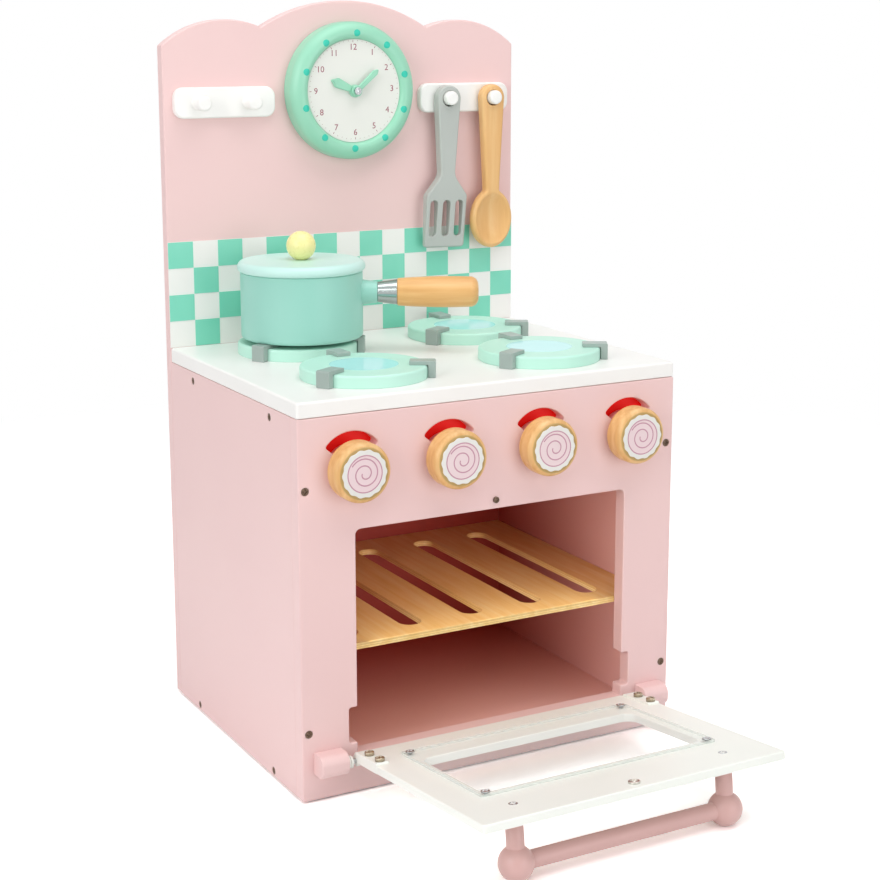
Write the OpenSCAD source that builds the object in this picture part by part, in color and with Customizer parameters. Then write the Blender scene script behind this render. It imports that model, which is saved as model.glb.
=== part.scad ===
// Toy cooker in painted wood: an oven with a drop-down door, a hob with four
// burners, a tall scalloped back with a clock and two peg rails, a lidded pan,
// a slotted turner and a spoon.
//
// Millimetres. X points right as seen from the front, Y points to the back and
// Z points up. The origin is on the floor, under the middle of the cabinet.

/* [Cabinet] */
// Width over the side panels
body_w = 335; // [325:1:360]
// Depth from the front face to the back face
body_d = 270; // [262:1:300]
// Thickness of the side, floor and oven ceiling boards
board_t = 12; // [10:0.5:13]
// Thickness of the front panel
front_t = 12; // [10:0.5:14]
// Gap under the front, side and back boards; the floor board stands on the ground
foot_gap = 1.2; // [0.4:0.1:3]
// Thickness of the back panel
back_t = 11; // [9:0.5:14]
// Thickness of the hob board
hob_t = 12; // [10:0.5:14]
// Side of the square battens under the hob
batten_w = 16; // [12:1:18]

/* [Heights] */
// From the floor to the sill of the oven opening
sill_h = 32.3; // [31:0.1:36]
// Height of the oven opening
opening_h = 176.7; // [168:0.1:188]
// From the top of the opening to the upper face of the hob
control_h = 101; // [99:0.5:110]
// From the upper face of the hob to the top of the back panel
upstand_h = 289; // [280:1:310]

/* [Oven] */
// Width of the oven opening
opening_w = 242; // [234:1:246]
// Corner radius of the opening
opening_r = 4.5; // [2:0.5:6]
// Width of the pair of notches that clear the hinge screws
notch_w = 256; // [256:0.5:258]
// Height of those notches
notch_h = 28.5; // [28:0.1:31]
// From the sill up to those notches
notch_rise = 8.7; // [6:0.1:9]
// Thickness of the slotted shelf
shelf_t = 5; // [4:0.5:9]
// From the sill up to the top of the shelf
shelf_rise = 82.7; // [60:0.1:110]
// Number of slots in the shelf
slot_count = 5; // [3:1:6]
// Width of a slot
slot_w = 19; // [12:1:24]
// Distance between the slots
slot_pitch = 55.5; // [38:0.1:57]
// From the shelf's front edge to the slots
slot_front = 18; // [12:1:30]
// From the shelf's back edge to the slots
slot_back = 27; // [12:1:40]
// Side of the square cleats that carry the shelf
cleat_w = 10; // [8:1:14]

/* [Back panel] */
// Radius of the middle arch of the top edge
arch_r = 150; // [140:1:170]
// Radius of the two side lobes of the top edge
lobe_r = 85; // [80:1:95]
// From the panel's side edge to the middle of a lobe
lobe_inset = 56.5; // [50:0.5:62]
// How far the lobes stop below the arch
lobe_drop = 16; // [12:0.5:22]
// Columns of tiles across the width
tile_columns = 15; // [11:2:19]
// Rows of tiles
tile_rows = 4; // [3:1:5]
// Thickness of the white tiled sheet
sheet_t = 0.6; // [0.4:0.1:1.5]
// Thickness of the coloured tiles on it
tile_t = 0.3; // [0.2:0.1:0.8]

/* [Clock] */
// Outer radius of the clock's ring
clock_r = 58.8; // [56:0.1:64]
// Radius of the dial inside the ring
dial_r = 44; // [40:0.5:46]
// Width of the ring's rounded lip, from the dial out to the crest
ring_lip = 5.1; // [4:0.1:6]
// From the top of the arch down to the middle of the clock
clock_drop = 76.4; // [72:0.1:82]
// How far the ring stands out of the back panel
ring_depth = 20; // [18:0.5:24]
// How far the dial's face stands out of the back panel
dial_depth = 16; // [13:0.5:17]
// Number of painted dots around the ring
dot_count = 10; // [8:1:12]
// Radius of a dot
dot_r = 3; // [2:0.1:3.5]
// How far the dots are turned from twelve, in degrees clockwise
dot_turn = 1.7; // [0:0.1:36]
// Thickness of a hand
hand_t = 2.8; // [2:0.1:3.5]
// Length of the hour hand, from its pivot to its tip
hour_len = 24; // [18:0.5:28]
// Length of the minute hand, from its pivot to its tip
minute_len = 27; // [22:0.5:34]
// Where the hour hand points, in degrees clockwise from twelve
hour_angle = -67; // [-180:1:180]
// Where the minute hand points, in degrees clockwise from twelve
minute_angle = 49; // [-180:1:180]

/* [Peg rails] */
// Clear space between the clock and a rail
rail_gap = 10.8; // [5:0.1:16]
// Height of a peg rail
rail_h = 25.6; // [24:0.2:32]
// Thickness of a peg rail
rail_t = 6.5; // [5:0.5:9]
// From the side of the cabinet to the end of a rail
rail_inset = 7.9; // [3:0.1:14]
// From the top of the arch down to the middle of a rail
rail_drop = 84.3; // [78:0.1:90]
// Radius of a peg
peg_r = 6.2; // [5:0.1:7]
// How far a peg stands out of its rail
peg_reach = 16; // [12:0.5:18]
// Distance between the two pegs of a rail
peg_pitch = 45; // [44:0.5:50]
// From the middle of a rail out to the middle of its two pegs
peg_shift = 1.6; // [0:0.1:3]

/* [Burners] */
// Clear space between a front burner and the back burner behind it
burner_gap = 24; // [16:0.5:32]
// Height of a burner
burner_h = 10; // [8:0.5:13]
// From the side of the cabinet to the middle of a burner
burner_inset = 87.5; // [84:0.5:92]
// From the hob's front edge to the front burners
burner_front = 17; // [12:0.5:22]
// From the back panel to the back burners
burner_back = 18; // [12:0.5:24]
// Width of a pan support
support_w = 12; // [9:0.5:15]
// Thickness of a pan support above the burner
support_t = 3.3; // [2.5:0.1:4.5]
// Thickness of the leg of a pan support
leg_t = 5.8; // [4:0.1:7]
// How far a pan support reaches over the burner
support_reach = 14.5; // [12:0.5:22]

/* [Knobs] */
// Radius of a knob
knob_r = 22.9; // [21.5:0.1:25]
// How far a knob stands out
knob_h = 20; // [16:0.5:24]
// From the side of the cabinet to the middle of the nearest knob
knob_inset = 44.5; // [44:0.5:52]
// From the hob's upper face down to the knobs
knob_drop = 53.5; // [52:0.5:54]
// Outer radius of the arched window over a knob
window_r = 28; // [26.5:0.1:28.5]
// Width of the arched window
window_w = 12; // [8:0.1:13]
// Half the angle that the arched window spans
window_span = 51.5; // [35:0.5:60]
// Radius of the arched window's corners
window_round = 2; // [0.5:0.1:3]
// Radius of a knob's spindle
spindle_r = 5; // [4:0.1:6]
// Thickness of the red flange behind the front panel
flange_t = 3; // [2:0.5:4]
// Radius of the white icing on a knob
icing_r = 17.6; // [14:0.1:18]
// Waves around the icing
icing_waves = 14; // [10:1:18]
// Thickness of the icing
icing_t = 0.6; // [0.4:0.1:1.2]

/* [Door] */
// Width of the door
door_w = 256; // [250:1:256]
// From the hinge axis to the door's far edge
door_len = 195.4; // [190:0.2:197]
// Thickness of the door panel
door_t = 6.6; // [4.5:0.1:7]
// How far the door panel runs on behind the hinge axis
door_tail = 2.5; // [2:0.5:6]
// From the hinge axis to the inner face of the door panel
door_offset = 5.4; // [4.5:0.1:6]
// From the front face out to the hinge axis
hinge_out = 9.3; // [9.3:0.1:10.5]
// From the floor up to the hinge axis
hinge_z = 30.6; // [29:0.2:33]
// Half the width of the window in the door
glass_half_w = 94.5; // [80:0.5:98]
// From the hinge axis to the near edge of the window
glass_near = 43.5; // [40:0.5:50]
// From the hinge axis to the far edge of the window
glass_far = 137; // [125:0.5:142]
// Corner radius of the window
glass_r = 9; // [4:0.5:14]
// Overlap of the clear pane on the door at its sides
pane_side_lap = 6.5; // [6:0.5:12]
// Overlap of the clear pane on the door at its near edge
pane_near_lap = 20; // [15:0.5:24]
// Overlap of the clear pane on the door at its far edge
pane_far_lap = 9.5; // [9:0.5:14]
// Thickness of the clear pane
pane_t = 2.1; // [1.5:0.1:2.6]
// Width of a hinge leaf
leaf_w = 10.7; // [9.5:0.1:12]
// From the hinge axis to the end of a hinge leaf
leaf_len = 36.3; // [36:0.1:37]
// How far a hinge leaf stands above the door's inner face
leaf_rise = 1.6; // [1:0.1:2.5]
// Radius of a hinge pin
pin_r = 2; // [1.5:0.1:2.4]
// Running clearance of a hinge pin, a spindle or a clock hand, on the radius
running_gap = 0.05; // [0.02:0.01:0.1]

/* [Handle] */
// Radius of the handle's bar
bar_r = 6.5; // [5.5:0.1:7.5]
// Radius of the handle's balls
ball_r = 13; // [11:0.1:14]
// From the middle of the door to a ball
ball_x = 89.6; // [85:0.2:94]
// From the hinge axis to the handle, along the door
handle_s = 169.7; // [160:0.1:175]
// From the door's outer face to the middle of a ball
handle_reach = 35.5; // [32:0.5:42]

/* [Pan] */
// Outer radius of the pan
pan_r = 50.7; // [46:0.1:52]
// Height of the pan without its lid
pan_h = 55.2; // [48:0.2:62]
// Thickness of the pan's wall
pan_wall = 4.5; // [3.5:0.1:6]
// Thickness of the pan's floor
pan_floor = 6; // [4:0.5:9]
// Thickness of the lid
lid_t = 9; // [6:0.2:10]
// How far the lid runs past the pan's wall
lid_lap = 2.3; // [1:0.1:3]
// Radius of the ball on the lid
lid_ball_r = 12.2; // [10:0.1:14]
// From the pan's foot up to the handle
handle_rise = 37; // [32:0.5:42]
// Where the handle points, in degrees from the right-hand side
handle_angle = -28; // [-60:1:10]
// From the middle of the pan to the end of the painted socket
socket_end = 63; // [60:0.5:66]
// Length of the metal ferrule
ferrule_len = 16.5; // [12:0.5:20]
// Radius of the metal ferrule at the socket
ferrule_r = 8.4; // [8:0.1:9]
// Radius of the metal ferrule at the grip
ferrule_end_r = 10.7; // [9:0.1:11]
// Length of the wooden grip
grip_len = 67.5; // [55:0.5:75]
// Largest radius of the wooden grip
grip_r = 13; // [12.6:0.1:14]

/* [Utensils] */
// Thickness of the turner and the spoon
utensil_t = 10; // [8:0.5:11]
// Gap between a utensil and its rail
utensil_gap = 0.5; // [0.3:0.1:1]
// Radius of the hanging holes
hang_r = 7; // [6.8:0.1:7.2]
// Length of the turner below the peg
turner_len = 133.3; // [125:0.1:140]
// How far the turner leans to the left as it hangs, in degrees
turner_lean = 1.2; // [0:0.1:2]
// Thickness of the turner at the end of its blade
blade_end_t = 3.6; // [2.5:0.1:5]
// Length of the spoon below the peg
spoon_len = 135.8; // [125:0.1:140]

/* [Hidden] */
$fn = 64;
smooth = 32;
touch = 0.01;

// Colours, as painted
pink = "#EBC9C8";
white_paint = "#FBFBF8";
mint = "#C0EEDD";
teal = "#92DEC7";
beech = "#F0C283";
steel = "#A5B3AE";

// Planes of the cabinet
front_y = -body_d / 2;
back_y = body_d / 2 - back_t;
inner_x = body_w / 2 - board_t;
inner_y = front_y + front_t;
opening_top = sill_h + opening_h;
ceiling_z = opening_top + 1;
hob_z = opening_top + control_h;
hob_under = hob_z - hob_t;
total_h = hob_z + upstand_h;
batten_margin = 18;
shelf_play = 0.5;
shelf_z = sill_h + shelf_rise;
tile = body_w / tile_columns;
tile_inset = 0.1;

// Clock and rails
clock_z = total_h - clock_drop;
ring_round = clock_r - (dial_r + ring_lip);
hand_gap = 0.5;
clock_screw_r = 2;
rail_w = body_w / 2 - rail_inset - rail_gap - clock_r;
rail_x = clock_r + rail_gap + rail_w / 2;
rail_z = total_h - rail_drop;
rail_face_y = back_y - rail_t;
peg_tenon_r = 4;

// Burners
burner_x = body_w / 2 - burner_inset;
burner_r = (back_y - front_y - burner_front - burner_gap - burner_back) / 4;
burner_front_y = front_y + burner_front + burner_r;
burner_back_y = back_y - burner_back - burner_r;
support_angles = [90, 210, 330];
support_top = hob_z + burner_h + support_t;

// Knobs
knob_z = hob_z - knob_drop;
knob_gap = 0.4;
knob_pitch = (body_w - 2 * knob_inset) / 3;
knob_xs = [for (i = [0:3]) (i - 1.5) * knob_pitch];
flange_gap = 0.4;
flange_r = window_r + 2.5;

// Door: s runs along the door from the hinge axis and h runs up from its inner face
hinge_y = front_y - hinge_out;
door_outer = door_offset - door_t;
ball_h = door_outer - handle_reach;
ball_reach = norm([handle_s, ball_h]);
open_tilt = atan(-ball_h / handle_s) + asin((ball_r - hinge_z) / ball_reach);
leaf_top = door_offset + leaf_rise;
leaf_wall = 3;
leaf_round = 4.8;
knuckle_r = 4.3;
leaf_root = 8;
leaf_screw_s = [14.5, 32];
leaf_screw_r = 3.7;
leaf_screw_head = 3.6;
pane_half_w = glass_half_w + pane_side_lap;
pane_near = glass_near - pane_near_lap;
pane_far = glass_far + pane_far_lap;
pane_screw_x = pane_half_w - 5.4;
pane_screw_s = [pane_near + 5.1, pane_far - 4.1];
magnet_r = 4.4;
magnet_proud = 1.6;
strike_proud = 1.9;
magnet_s = 185.6;
handle_screw_bite = 16;
block_len = 23.1;
block_gap = 7.2;
block_h = 17.4;
block_below = 8.2;
block_round = 7;
washer_t = 1.8;
washer_gap = 0.3;
washer_r = 4.8;
pin_in_block = 16;

// Pan, on the back left burner
pan_shift = [3, -2.5];
pan_x = -burner_x + pan_shift[0];
pan_y = burner_back_y + pan_shift[1];
lid_z = support_top + pan_h;
lid_fit = 0.7;
lid_spigot = 5;
tenon_r = ferrule_r - 1.4;
socket_r = ferrule_r + 0.2;
socket_flare = 3.4;
socket_start = pan_r - 10;

// Utensils
utensil_y = rail_face_y - utensil_gap;
hang_gap = 0.3;
hang_z = rail_z + peg_r + hang_gap - hang_r;
turner_x = rail_x + peg_shift - peg_pitch / 2;
spoon_x = rail_x + peg_shift + peg_pitch / 2;

// A rectangle with round corners, centred
module rounded(w, h, r) {
  square([w - 2 * r, h], center = true);
  square([w, h - 2 * r], center = true);
  for (sx = [-1, 1], sy = [-1, 1])
    translate([sx * (w / 2 - r), sy * (h / 2 - r)]) circle(r);
}

// A straight slot with round ends between two points on one vertical line
module slot(x, y0, y1, w) {
  translate([x - w / 2, y0 + w / 2]) square([w, y1 - y0 - w]);
  translate([x, y0 + w / 2]) circle(w / 2);
  translate([x, y1 - w / 2]) circle(w / 2);
}

// Points along an arc about c, with angles from the X axis
function arc_points(c, r, from, to, steps) =
  [for (i = [0:steps]) c + r * [cos(from + (to - from) * i / steps), sin(from + (to - from) * i / steps)]];

// A list of points in reverse order, mirrored from the right side to the left
function mirrored(points) = [for (i = [len(points) - 1:-1:0]) [-points[i][0], points[i][1]]];

// Stands a flat shape, drawn in X and Z, upright with its back at y
module upright(y, t) {
  translate([0, y, 0]) rotate([90, 0, 0]) linear_extrude(t) children();
}

// Runs a flat shape, drawn in Y and Z, along X
module along_x(x, length) {
  translate([x, 0, 0]) rotate([90, 0, 90]) linear_extrude(length) children();
}

// A box between two corners
module box(low, high) {
  translate(low) cube(high - low);
}

// A round bar that points to the front, from y towards -Y
module forward(x, y, z) {
  translate([x, y, z]) rotate([90, 0, 0]) children();
}

// A screw along -Z, with the top of its head at the origin; a raised one cuts its hole
module screw(head_r, head_h, shank_r, length, raised = 0) {
  translate([0, 0, -head_h]) cylinder(r = head_r, h = head_h + raised);
  translate([0, 0, -length]) cylinder(r = shank_r, h = length - head_h + touch);
}

// ---------- Cabinet ----------

// Sunk screws of the cabinet: raised, their solids also cut the holes that they fill
module cabinet_screw_solids(raised = 0) {
  edge_x = body_w / 2 - board_t / 2;
  sunk = 0.4;
  for (side = [-1, 1]) {
    for (z = [hob_under - 55, sill_h + 22.4])
      forward(side * edge_x, front_y + sunk, z) sunk_screw(30, raised);
    for (y = [back_y - 50, inner_y + 39])
      translate([side * (body_w / 2 - sunk), y, hob_under - batten_w / 2])
        rotate([0, side * 90, 0]) sunk_screw(22, raised);
    for (y = [back_y - 45, inner_y + 44])
      translate([side * (body_w / 2 - sunk), y, board_t / 2])
        rotate([0, side * 90, 0]) sunk_screw(30, raised);
    for (z = [30, hob_under / 2, hob_under - 30])
      translate([side * edge_x, body_d / 2 - sunk, z]) rotate([-90, 0, 0]) sunk_screw(30, raised);
  }
}

module sunk_screw(length, raised) {
  screw(3.05, 1.8, 1.6, length, raised);
}

// The screw above the oven that the door's magnet meets
module strike_solid() {
  forward(0, front_y - strike_proud, hinge_z + magnet_s) screw(2.6, strike_proud, 1.5, 13);
}

module cabinet_screws() {
  color("#5B4640") {
    cabinet_screw_solids(0);
    strike_solid();
  }
}

module side_panel(side) {
  color(pink) difference() {
    box([side < 0 ? -body_w / 2 : inner_x, inner_y, foot_gap],
        [side < 0 ? -inner_x : body_w / 2, back_y, hob_under]);
    cabinet_screw_solids(1);
  }
}

// The scalloped outline of the back: two lobes and a middle arch over a rectangle
module back_outline() {
  lobe_z = total_h - lobe_drop - lobe_r;
  intersection() {
    translate([-body_w / 2, foot_gap]) square([body_w, total_h - foot_gap]);
    union() {
      translate([-body_w / 2, 0]) square([body_w, lobe_z]);
      translate([0, total_h - arch_r]) circle(arch_r, $fn = 180);
      for (s = [-1, 1])
        translate([s * (body_w / 2 - lobe_inset), lobe_z]) circle(lobe_r, $fn = 120);
    }
  }
}

module back_panel() {
  color(pink) difference() {
    upright(body_d / 2, back_t) back_outline();
    cabinet_screw_solids(1);
  }
}

// The oven opening, with the notches that clear the heads of the hinge screws
module opening_outline() {
  translate([0, sill_h + opening_h / 2]) rounded(opening_w, opening_h, opening_r);
  translate([0, sill_h + notch_rise + notch_h / 2]) rounded(notch_w, notch_h, 2);
}

// An arched window with rounded corners, concentric with a knob
module knob_window() {
  far = window_r - window_round;
  near = window_r - window_w + window_round;
  far_turn = asin(window_round / far);
  near_turn = asin(window_round / near);
  left = 90 + window_span;
  right = 90 - window_span;
  polygon(concat(
    arc_points([0, 0], window_r, right + far_turn, left - far_turn, 20),
    arc_points(far * [cos(left - far_turn), sin(left - far_turn)], window_round,
      left - far_turn + 18, left + 90, 4),
    arc_points(near * [cos(left - near_turn), sin(left - near_turn)], window_round,
      left + 90, left - near_turn + 162, 4),
    arc_points([0, 0], window_r - window_w, left - near_turn, right + near_turn, 16),
    arc_points(near * [cos(right + near_turn), sin(right + near_turn)], window_round,
      right + near_turn + 198, right + 270, 4),
    arc_points(far * [cos(right + far_turn), sin(right + far_turn)], window_round,
      right + 270, right + far_turn + 342, 4)));
}

module front_panel() {
  color(pink) difference() {
    upright(inner_y, front_t) difference() {
      translate([-body_w / 2, foot_gap]) square([body_w, hob_under - foot_gap]);
      opening_outline();
      for (x = knob_xs) translate([x, knob_z]) {
        knob_window();
        circle(spindle_r + running_gap);
      }
    }
    cabinet_screw_solids(1);
    strike_solid();
  }
}

module floor_panel() {
  color(pink) difference() {
    box([-inner_x, inner_y, 0], [inner_x, back_y, board_t]);
    cabinet_screw_solids(1);
  }
}

module oven_ceiling() {
  color(pink) box([-inner_x, inner_y, ceiling_z], [inner_x, back_y, ceiling_z + board_t]);
}

module hob_top() {
  color(white_paint)
    box([-body_w / 2, front_y, hob_under], [body_w / 2, back_y, hob_z]);
}

module top_battens() {
  color(pink) difference() {
    for (s = [-1, 1])
      box([s < 0 ? -inner_x : inner_x - batten_w, inner_y + batten_margin, hob_under - batten_w],
          [s < 0 ? -inner_x + batten_w : inner_x, back_y - batten_margin, hob_under]);
    cabinet_screw_solids(1);
  }
}

module shelf_cleats() {
  top = shelf_z - shelf_t;
  color(pink) for (s = [-1, 1])
    box([s < 0 ? -inner_x : inner_x - cleat_w, inner_y + batten_margin, top - cleat_w],
        [s < 0 ? -inner_x + cleat_w : inner_x, back_y - batten_margin, top]);
}

module oven_shelf() {
  front = inner_y + shelf_play;
  back = back_y - shelf_play;
  color(beech) translate([0, 0, shelf_z - shelf_t]) linear_extrude(shelf_t) difference() {
    translate([-inner_x + shelf_play, front]) square([2 * (inner_x - shelf_play), back - front]);
    for (i = [0:slot_count - 1])
      slot((i - (slot_count - 1) / 2) * slot_pitch, front + slot_front, back - slot_back, slot_w);
  }
}

module splashback_sheet() {
  color(white_paint) upright(back_y, sheet_t)
    translate([-body_w / 2, hob_z]) square([body_w, tile_rows * tile]);
}

// Every second square of the checked band; the top left one is coloured
module splashback_tiles() {
  color(teal) upright(back_y - sheet_t, tile_t)
    for (column = [0:tile_columns - 1], row = [0:tile_rows - 1])
      if ((column + tile_rows - 1 - row) % 2 == 0)
        translate([-body_w / 2 + column * tile + tile_inset, hob_z + row * tile + tile_inset])
          square(tile - 2 * tile_inset);
}

// ---------- Peg rails and clock ----------

peg_xs = [for (s = [-1, 1], t = [-1, 1]) s * (rail_x + peg_shift) + t * peg_pitch / 2];

module peg_rails() {
  color(white_paint) upright(back_y, rail_t) difference() {
    for (s = [-1, 1]) translate([s * rail_x, rail_z]) rounded(rail_w, rail_h, rail_h / 3);
    for (x = peg_xs) translate([x, rail_z]) circle(peg_tenon_r);
  }
}

module rail_pegs() {
  end_round = 1.5;
  color(white_paint) for (x = peg_xs) {
    forward(x, back_y, rail_z) cylinder(r = peg_tenon_r, h = rail_t + touch);
    forward(x, rail_face_y, rail_z) rotate_extrude() {
      square([peg_r, peg_reach - end_round]);
      square([peg_r - end_round, peg_reach]);
      translate([peg_r - end_round, peg_reach - end_round]) intersection() {
        circle(end_round);
        square(end_round);
      }
    }
  }
}

// The ring's section: a straight outer foot, a round crest and a lip into the dial
module ring_section() {
  crest_r = dial_r + ring_lip;
  translate([dial_r, 0]) square([ring_lip, ring_depth - ring_lip]);
  translate([crest_r, 0]) square([ring_round, ring_depth - ring_round]);
  translate([crest_r, ring_depth - ring_round]) intersection() {
    circle(ring_round);
    square(ring_round);
  }
  translate([crest_r, ring_depth - ring_lip]) intersection() {
    circle(ring_lip);
    translate([-ring_lip, 0]) square(ring_lip);
  }
}

// The painted dots, a little proud of the crest
module dot_solids() {
  for (i = [0:dot_count - 1]) {
    a = i * 360 / dot_count + dot_turn;
    r = dial_r + ring_lip;
    forward(r * sin(a), back_y - ring_depth + 1.5, clock_z + r * cos(a))
      cylinder(r = dot_r, h = 1.6, $fn = 24);
  }
}

module clock_ring() {
  color(mint) difference() {
    forward(0, back_y, clock_z) rotate_extrude($fn = 96) ring_section();
    dot_solids();
  }
}

module clock_dots() {
  color("#2FCDB8") dot_solids();
}

module clock_face() {
  color(white_paint) difference() {
    forward(0, back_y, clock_z) cylinder(r = dial_r, h = dial_depth, $fn = 96);
    clock_screw_solid();
  }
}

hour_depth = dial_depth + hand_gap;
minute_depth = hour_depth + hand_t + hand_gap;
screw_seat = minute_depth + hand_t + hand_gap / 2;

module clock_screw_solid() {
  head = 2;
  forward(0, back_y, clock_z) {
    translate([0, 0, 4]) cylinder(r = clock_screw_r, h = screw_seat - 4 + touch);
    translate([0, 0, screw_seat]) cylinder(r = 3.2, h = head);
  }
}

module clock_screw() {
  color(steel) clock_screw_solid();
}

// A hand: a hub with a bore and a blade with a pointed tip, in one outline
module hand(depth, angle, length, width, hub_r) {
  root = 90 - asin(width * 0.35 / hub_r);
  color(mint) translate([0, back_y - depth, clock_z]) rotate([90, 0, 0]) rotate([0, 0, -angle])
    linear_extrude(hand_t) difference() {
      polygon(concat(
        arc_points([0, 0], hub_r, 180 - root, 360 + root, 30),
        [[width / 2, length - width * 0.7], [0, length], [-width / 2, length - width * 0.7]]));
      circle(clock_screw_r + running_gap);
    }
}

module hour_hand() {
  hand(hour_depth, hour_angle, hour_len, 8.4, 5.4);
}

module minute_hand() {
  hand(minute_depth, minute_angle, minute_len, 5, 4.8);
}

// ---------- Burners ----------

module burner(x, y) {
  round_r = 2;
  color(mint) translate([x, y, hob_z]) rotate_extrude($fn = 96) {
    square([burner_r, burner_h - round_r]);
    square([burner_r - round_r, burner_h]);
    translate([burner_r - round_r, burner_h - round_r]) intersection() {
      circle(round_r);
      square(round_r);
    }
  }
}

// Three L-shaped supports: a leg beside the burner and an arm over its edge
module pan_support(x, y) {
  side_gap = 0.2;
  leg_in = burner_r + side_gap;
  color(steel) translate([x, y, hob_z]) for (a = support_angles) rotate([0, 0, a]) {
    box([leg_in, -support_w / 2, 0], [leg_in + leg_t, support_w / 2, burner_h + support_t]);
    box([burner_r - support_reach, -support_w / 2, burner_h],
        [leg_in + touch, support_w / 2, burner_h + support_t]);
  }
}

// ---------- Knobs ----------

// The knob's section: a thick disc with well rounded edges and a bore for the spindle
module knob_section() {
  front_round = 5;
  back_round = 6;
  bore = 12;
  difference() {
    union() {
      square([knob_r - front_round, knob_h]);
      translate([0, back_round]) square([knob_r, knob_h - front_round - back_round]);
      square([knob_r - back_round, back_round]);
      translate([knob_r - front_round, knob_h - front_round]) circle(front_round);
      translate([knob_r - back_round, back_round]) circle(back_round);
    }
    square([spindle_r, bore]);
  }
}

module knob(i) {
  color(beech) forward(knob_xs[i], front_y - knob_gap, knob_z)
    rotate_extrude($fn = 96) knob_section();
}

// White icing with a wavy rim on the knob's face
module knob_icing(i) {
  wave_r = PI * icing_r / icing_waves;
  color(white_paint) forward(knob_xs[i], front_y - knob_gap - knob_h, knob_z)
    linear_extrude(icing_t) {
      circle(icing_r);
      for (k = [0:icing_waves - 1]) rotate([0, 0, k * 360 / icing_waves])
        translate([icing_r - wave_r * 0.75, 0]) circle(wave_r * 1.05, $fn = smooth);
    }
}

// Spindle through the front panel, with the red flange that the arched window shows
module knob_spindle(i) {
  bore = 12;
  color("#E4120A") forward(knob_xs[i], inner_y + flange_gap + flange_t, knob_z) {
    cylinder(r = flange_r, h = flange_t, $fn = 96);
    cylinder(r = spindle_r, h = flange_t + flange_gap + front_t + knob_gap + bore);
  }
}

// ---------- Door ----------

// Places what is drawn in the door's own frame: X along the hinge axis, -Y along the
// door away from the hinge, Z out of the door's inner face, the axis at the origin
module on_door() {
  translate([0, hinge_y, hinge_z]) rotate([-open_tilt, 0, 0]) children();
}

// A screw into the door's inner face, with its head's top at height h
module door_screw(x, s, h, head_r, head_h, shank_r, length) {
  translate([x, -s, h]) screw(head_r, head_h, shank_r, length);
}

module window_screw_solids() {
  for (side = [-1, 1], s = pane_screw_s)
    door_screw(side * pane_screw_x, s, door_offset + pane_t + 1.2, 3.4, 1.2, 1.3, 7);
}

module leaf_screw_solids() {
  for (side = [-1, 1], s = leaf_screw_s)
    door_screw(side * (door_w / 2 - leaf_w / 2), s, leaf_top + leaf_screw_head,
               leaf_screw_r, leaf_screw_head, 1.5, leaf_screw_head + leaf_rise + door_t - 1.5);
}

module handle_screw_solids() {
  for (side = [-1, 1])
    door_screw(side * ball_x, handle_s, door_offset + 0.2, 3.4, 1.4, 1.7, door_t + handle_screw_bite);
}

module door_magnet_solid() {
  translate([0, -magnet_s, door_offset - door_t * 0.6])
    cylinder(r = magnet_r, h = magnet_proud + door_t * 0.6);
}

module door_panel() {
  half = door_w / 2;
  root_x = half - leaf_w;
  color(white_paint) on_door() difference() {
    translate([0, 0, door_outer]) linear_extrude(door_t) difference() {
      polygon([[-root_x, door_tail], [root_x, door_tail], [root_x, -leaf_root],
               [half - leaf_wall, -leaf_root], [half - leaf_wall, -leaf_len],
               [half, -leaf_len], [half, -door_len], [-half, -door_len],
               [-half, -leaf_len], [-half + leaf_wall, -leaf_len],
               [-half + leaf_wall, -leaf_root], [-root_x, -leaf_root]]);
      translate([0, -(glass_near + glass_far) / 2])
        rounded(2 * glass_half_w, glass_far - glass_near, glass_r);
    }
    leaf_screw_solids();
    window_screw_solids();
    handle_screw_solids();
    door_magnet_solid();
  }
}

module door_window() {
  color("#DCEBEC") on_door() difference() {
    translate([0, -(pane_near + pane_far) / 2, door_offset]) linear_extrude(pane_t)
      rounded(2 * pane_half_w, pane_far - pane_near, 2);
    window_screw_solids();
  }
}

module window_screws() {
  color(steel) on_door() window_screw_solids();
}

// A leaf's side view: its end is rounded about the pin so that it clears the cabinet
module leaf_outline() {
  bend = [-2.6, leaf_top - leaf_round];
  polygon(concat(
    [[-leaf_len, door_outer], [-leaf_len, leaf_top]],
    arc_points(bend, leaf_round, 90, 25, 6),
    arc_points([0, 0], knuckle_r, 58, -112, 17),
    [[-leaf_root + 1.5, door_outer]]));
}

// The two leaves, rebated to take the door panel's edge and bored for the pins
module door_leaves() {
  half = door_w / 2;
  color(white_paint) on_door() difference() {
    for (side = [-1, 1]) along_x(side < 0 ? -half : half - leaf_w, leaf_w) leaf_outline();
    box([-half + leaf_wall, -leaf_len - 1, door_outer], [half - leaf_wall, -leaf_root, door_offset]);
    for (side = [-1, 1]) translate([side * half, 0, 0]) rotate([0, -side * 90, 0])
      translate([0, 0, -1]) cylinder(r = pin_r + running_gap, h = leaf_w + 2);
    leaf_screw_solids();
  }
}

module leaf_screws() {
  color(steel) on_door() leaf_screw_solids();
}

block_x = door_w / 2 + block_gap;

// Steel pins, fast in the blocks and running in the leaves
module pin_solids() {
  for (side = [-1, 1])
    translate([side * (block_x + pin_in_block), hinge_y, hinge_z]) rotate([0, -side * 90, 0])
      cylinder(r = pin_r, h = pin_in_block + block_gap + leaf_w - 0.5);
}

module hinge_pins() {
  color(steel) pin_solids();
}

module hinge_blocks() {
  depth = hinge_out + 6.7;
  color(pink) difference() {
    for (side = [-1, 1]) along_x(side < 0 ? -block_x - block_len : block_x, block_len)
      translate([front_y - depth, hinge_z - block_below]) {
        translate([block_round, 0]) square([depth - block_round, block_h]);
        translate([0, block_round]) square([depth, block_h - 2 * block_round]);
        for (z = [block_round, block_h - block_round]) translate([block_round, z]) circle(block_round);
      }
    pin_solids();
  }
}

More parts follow.
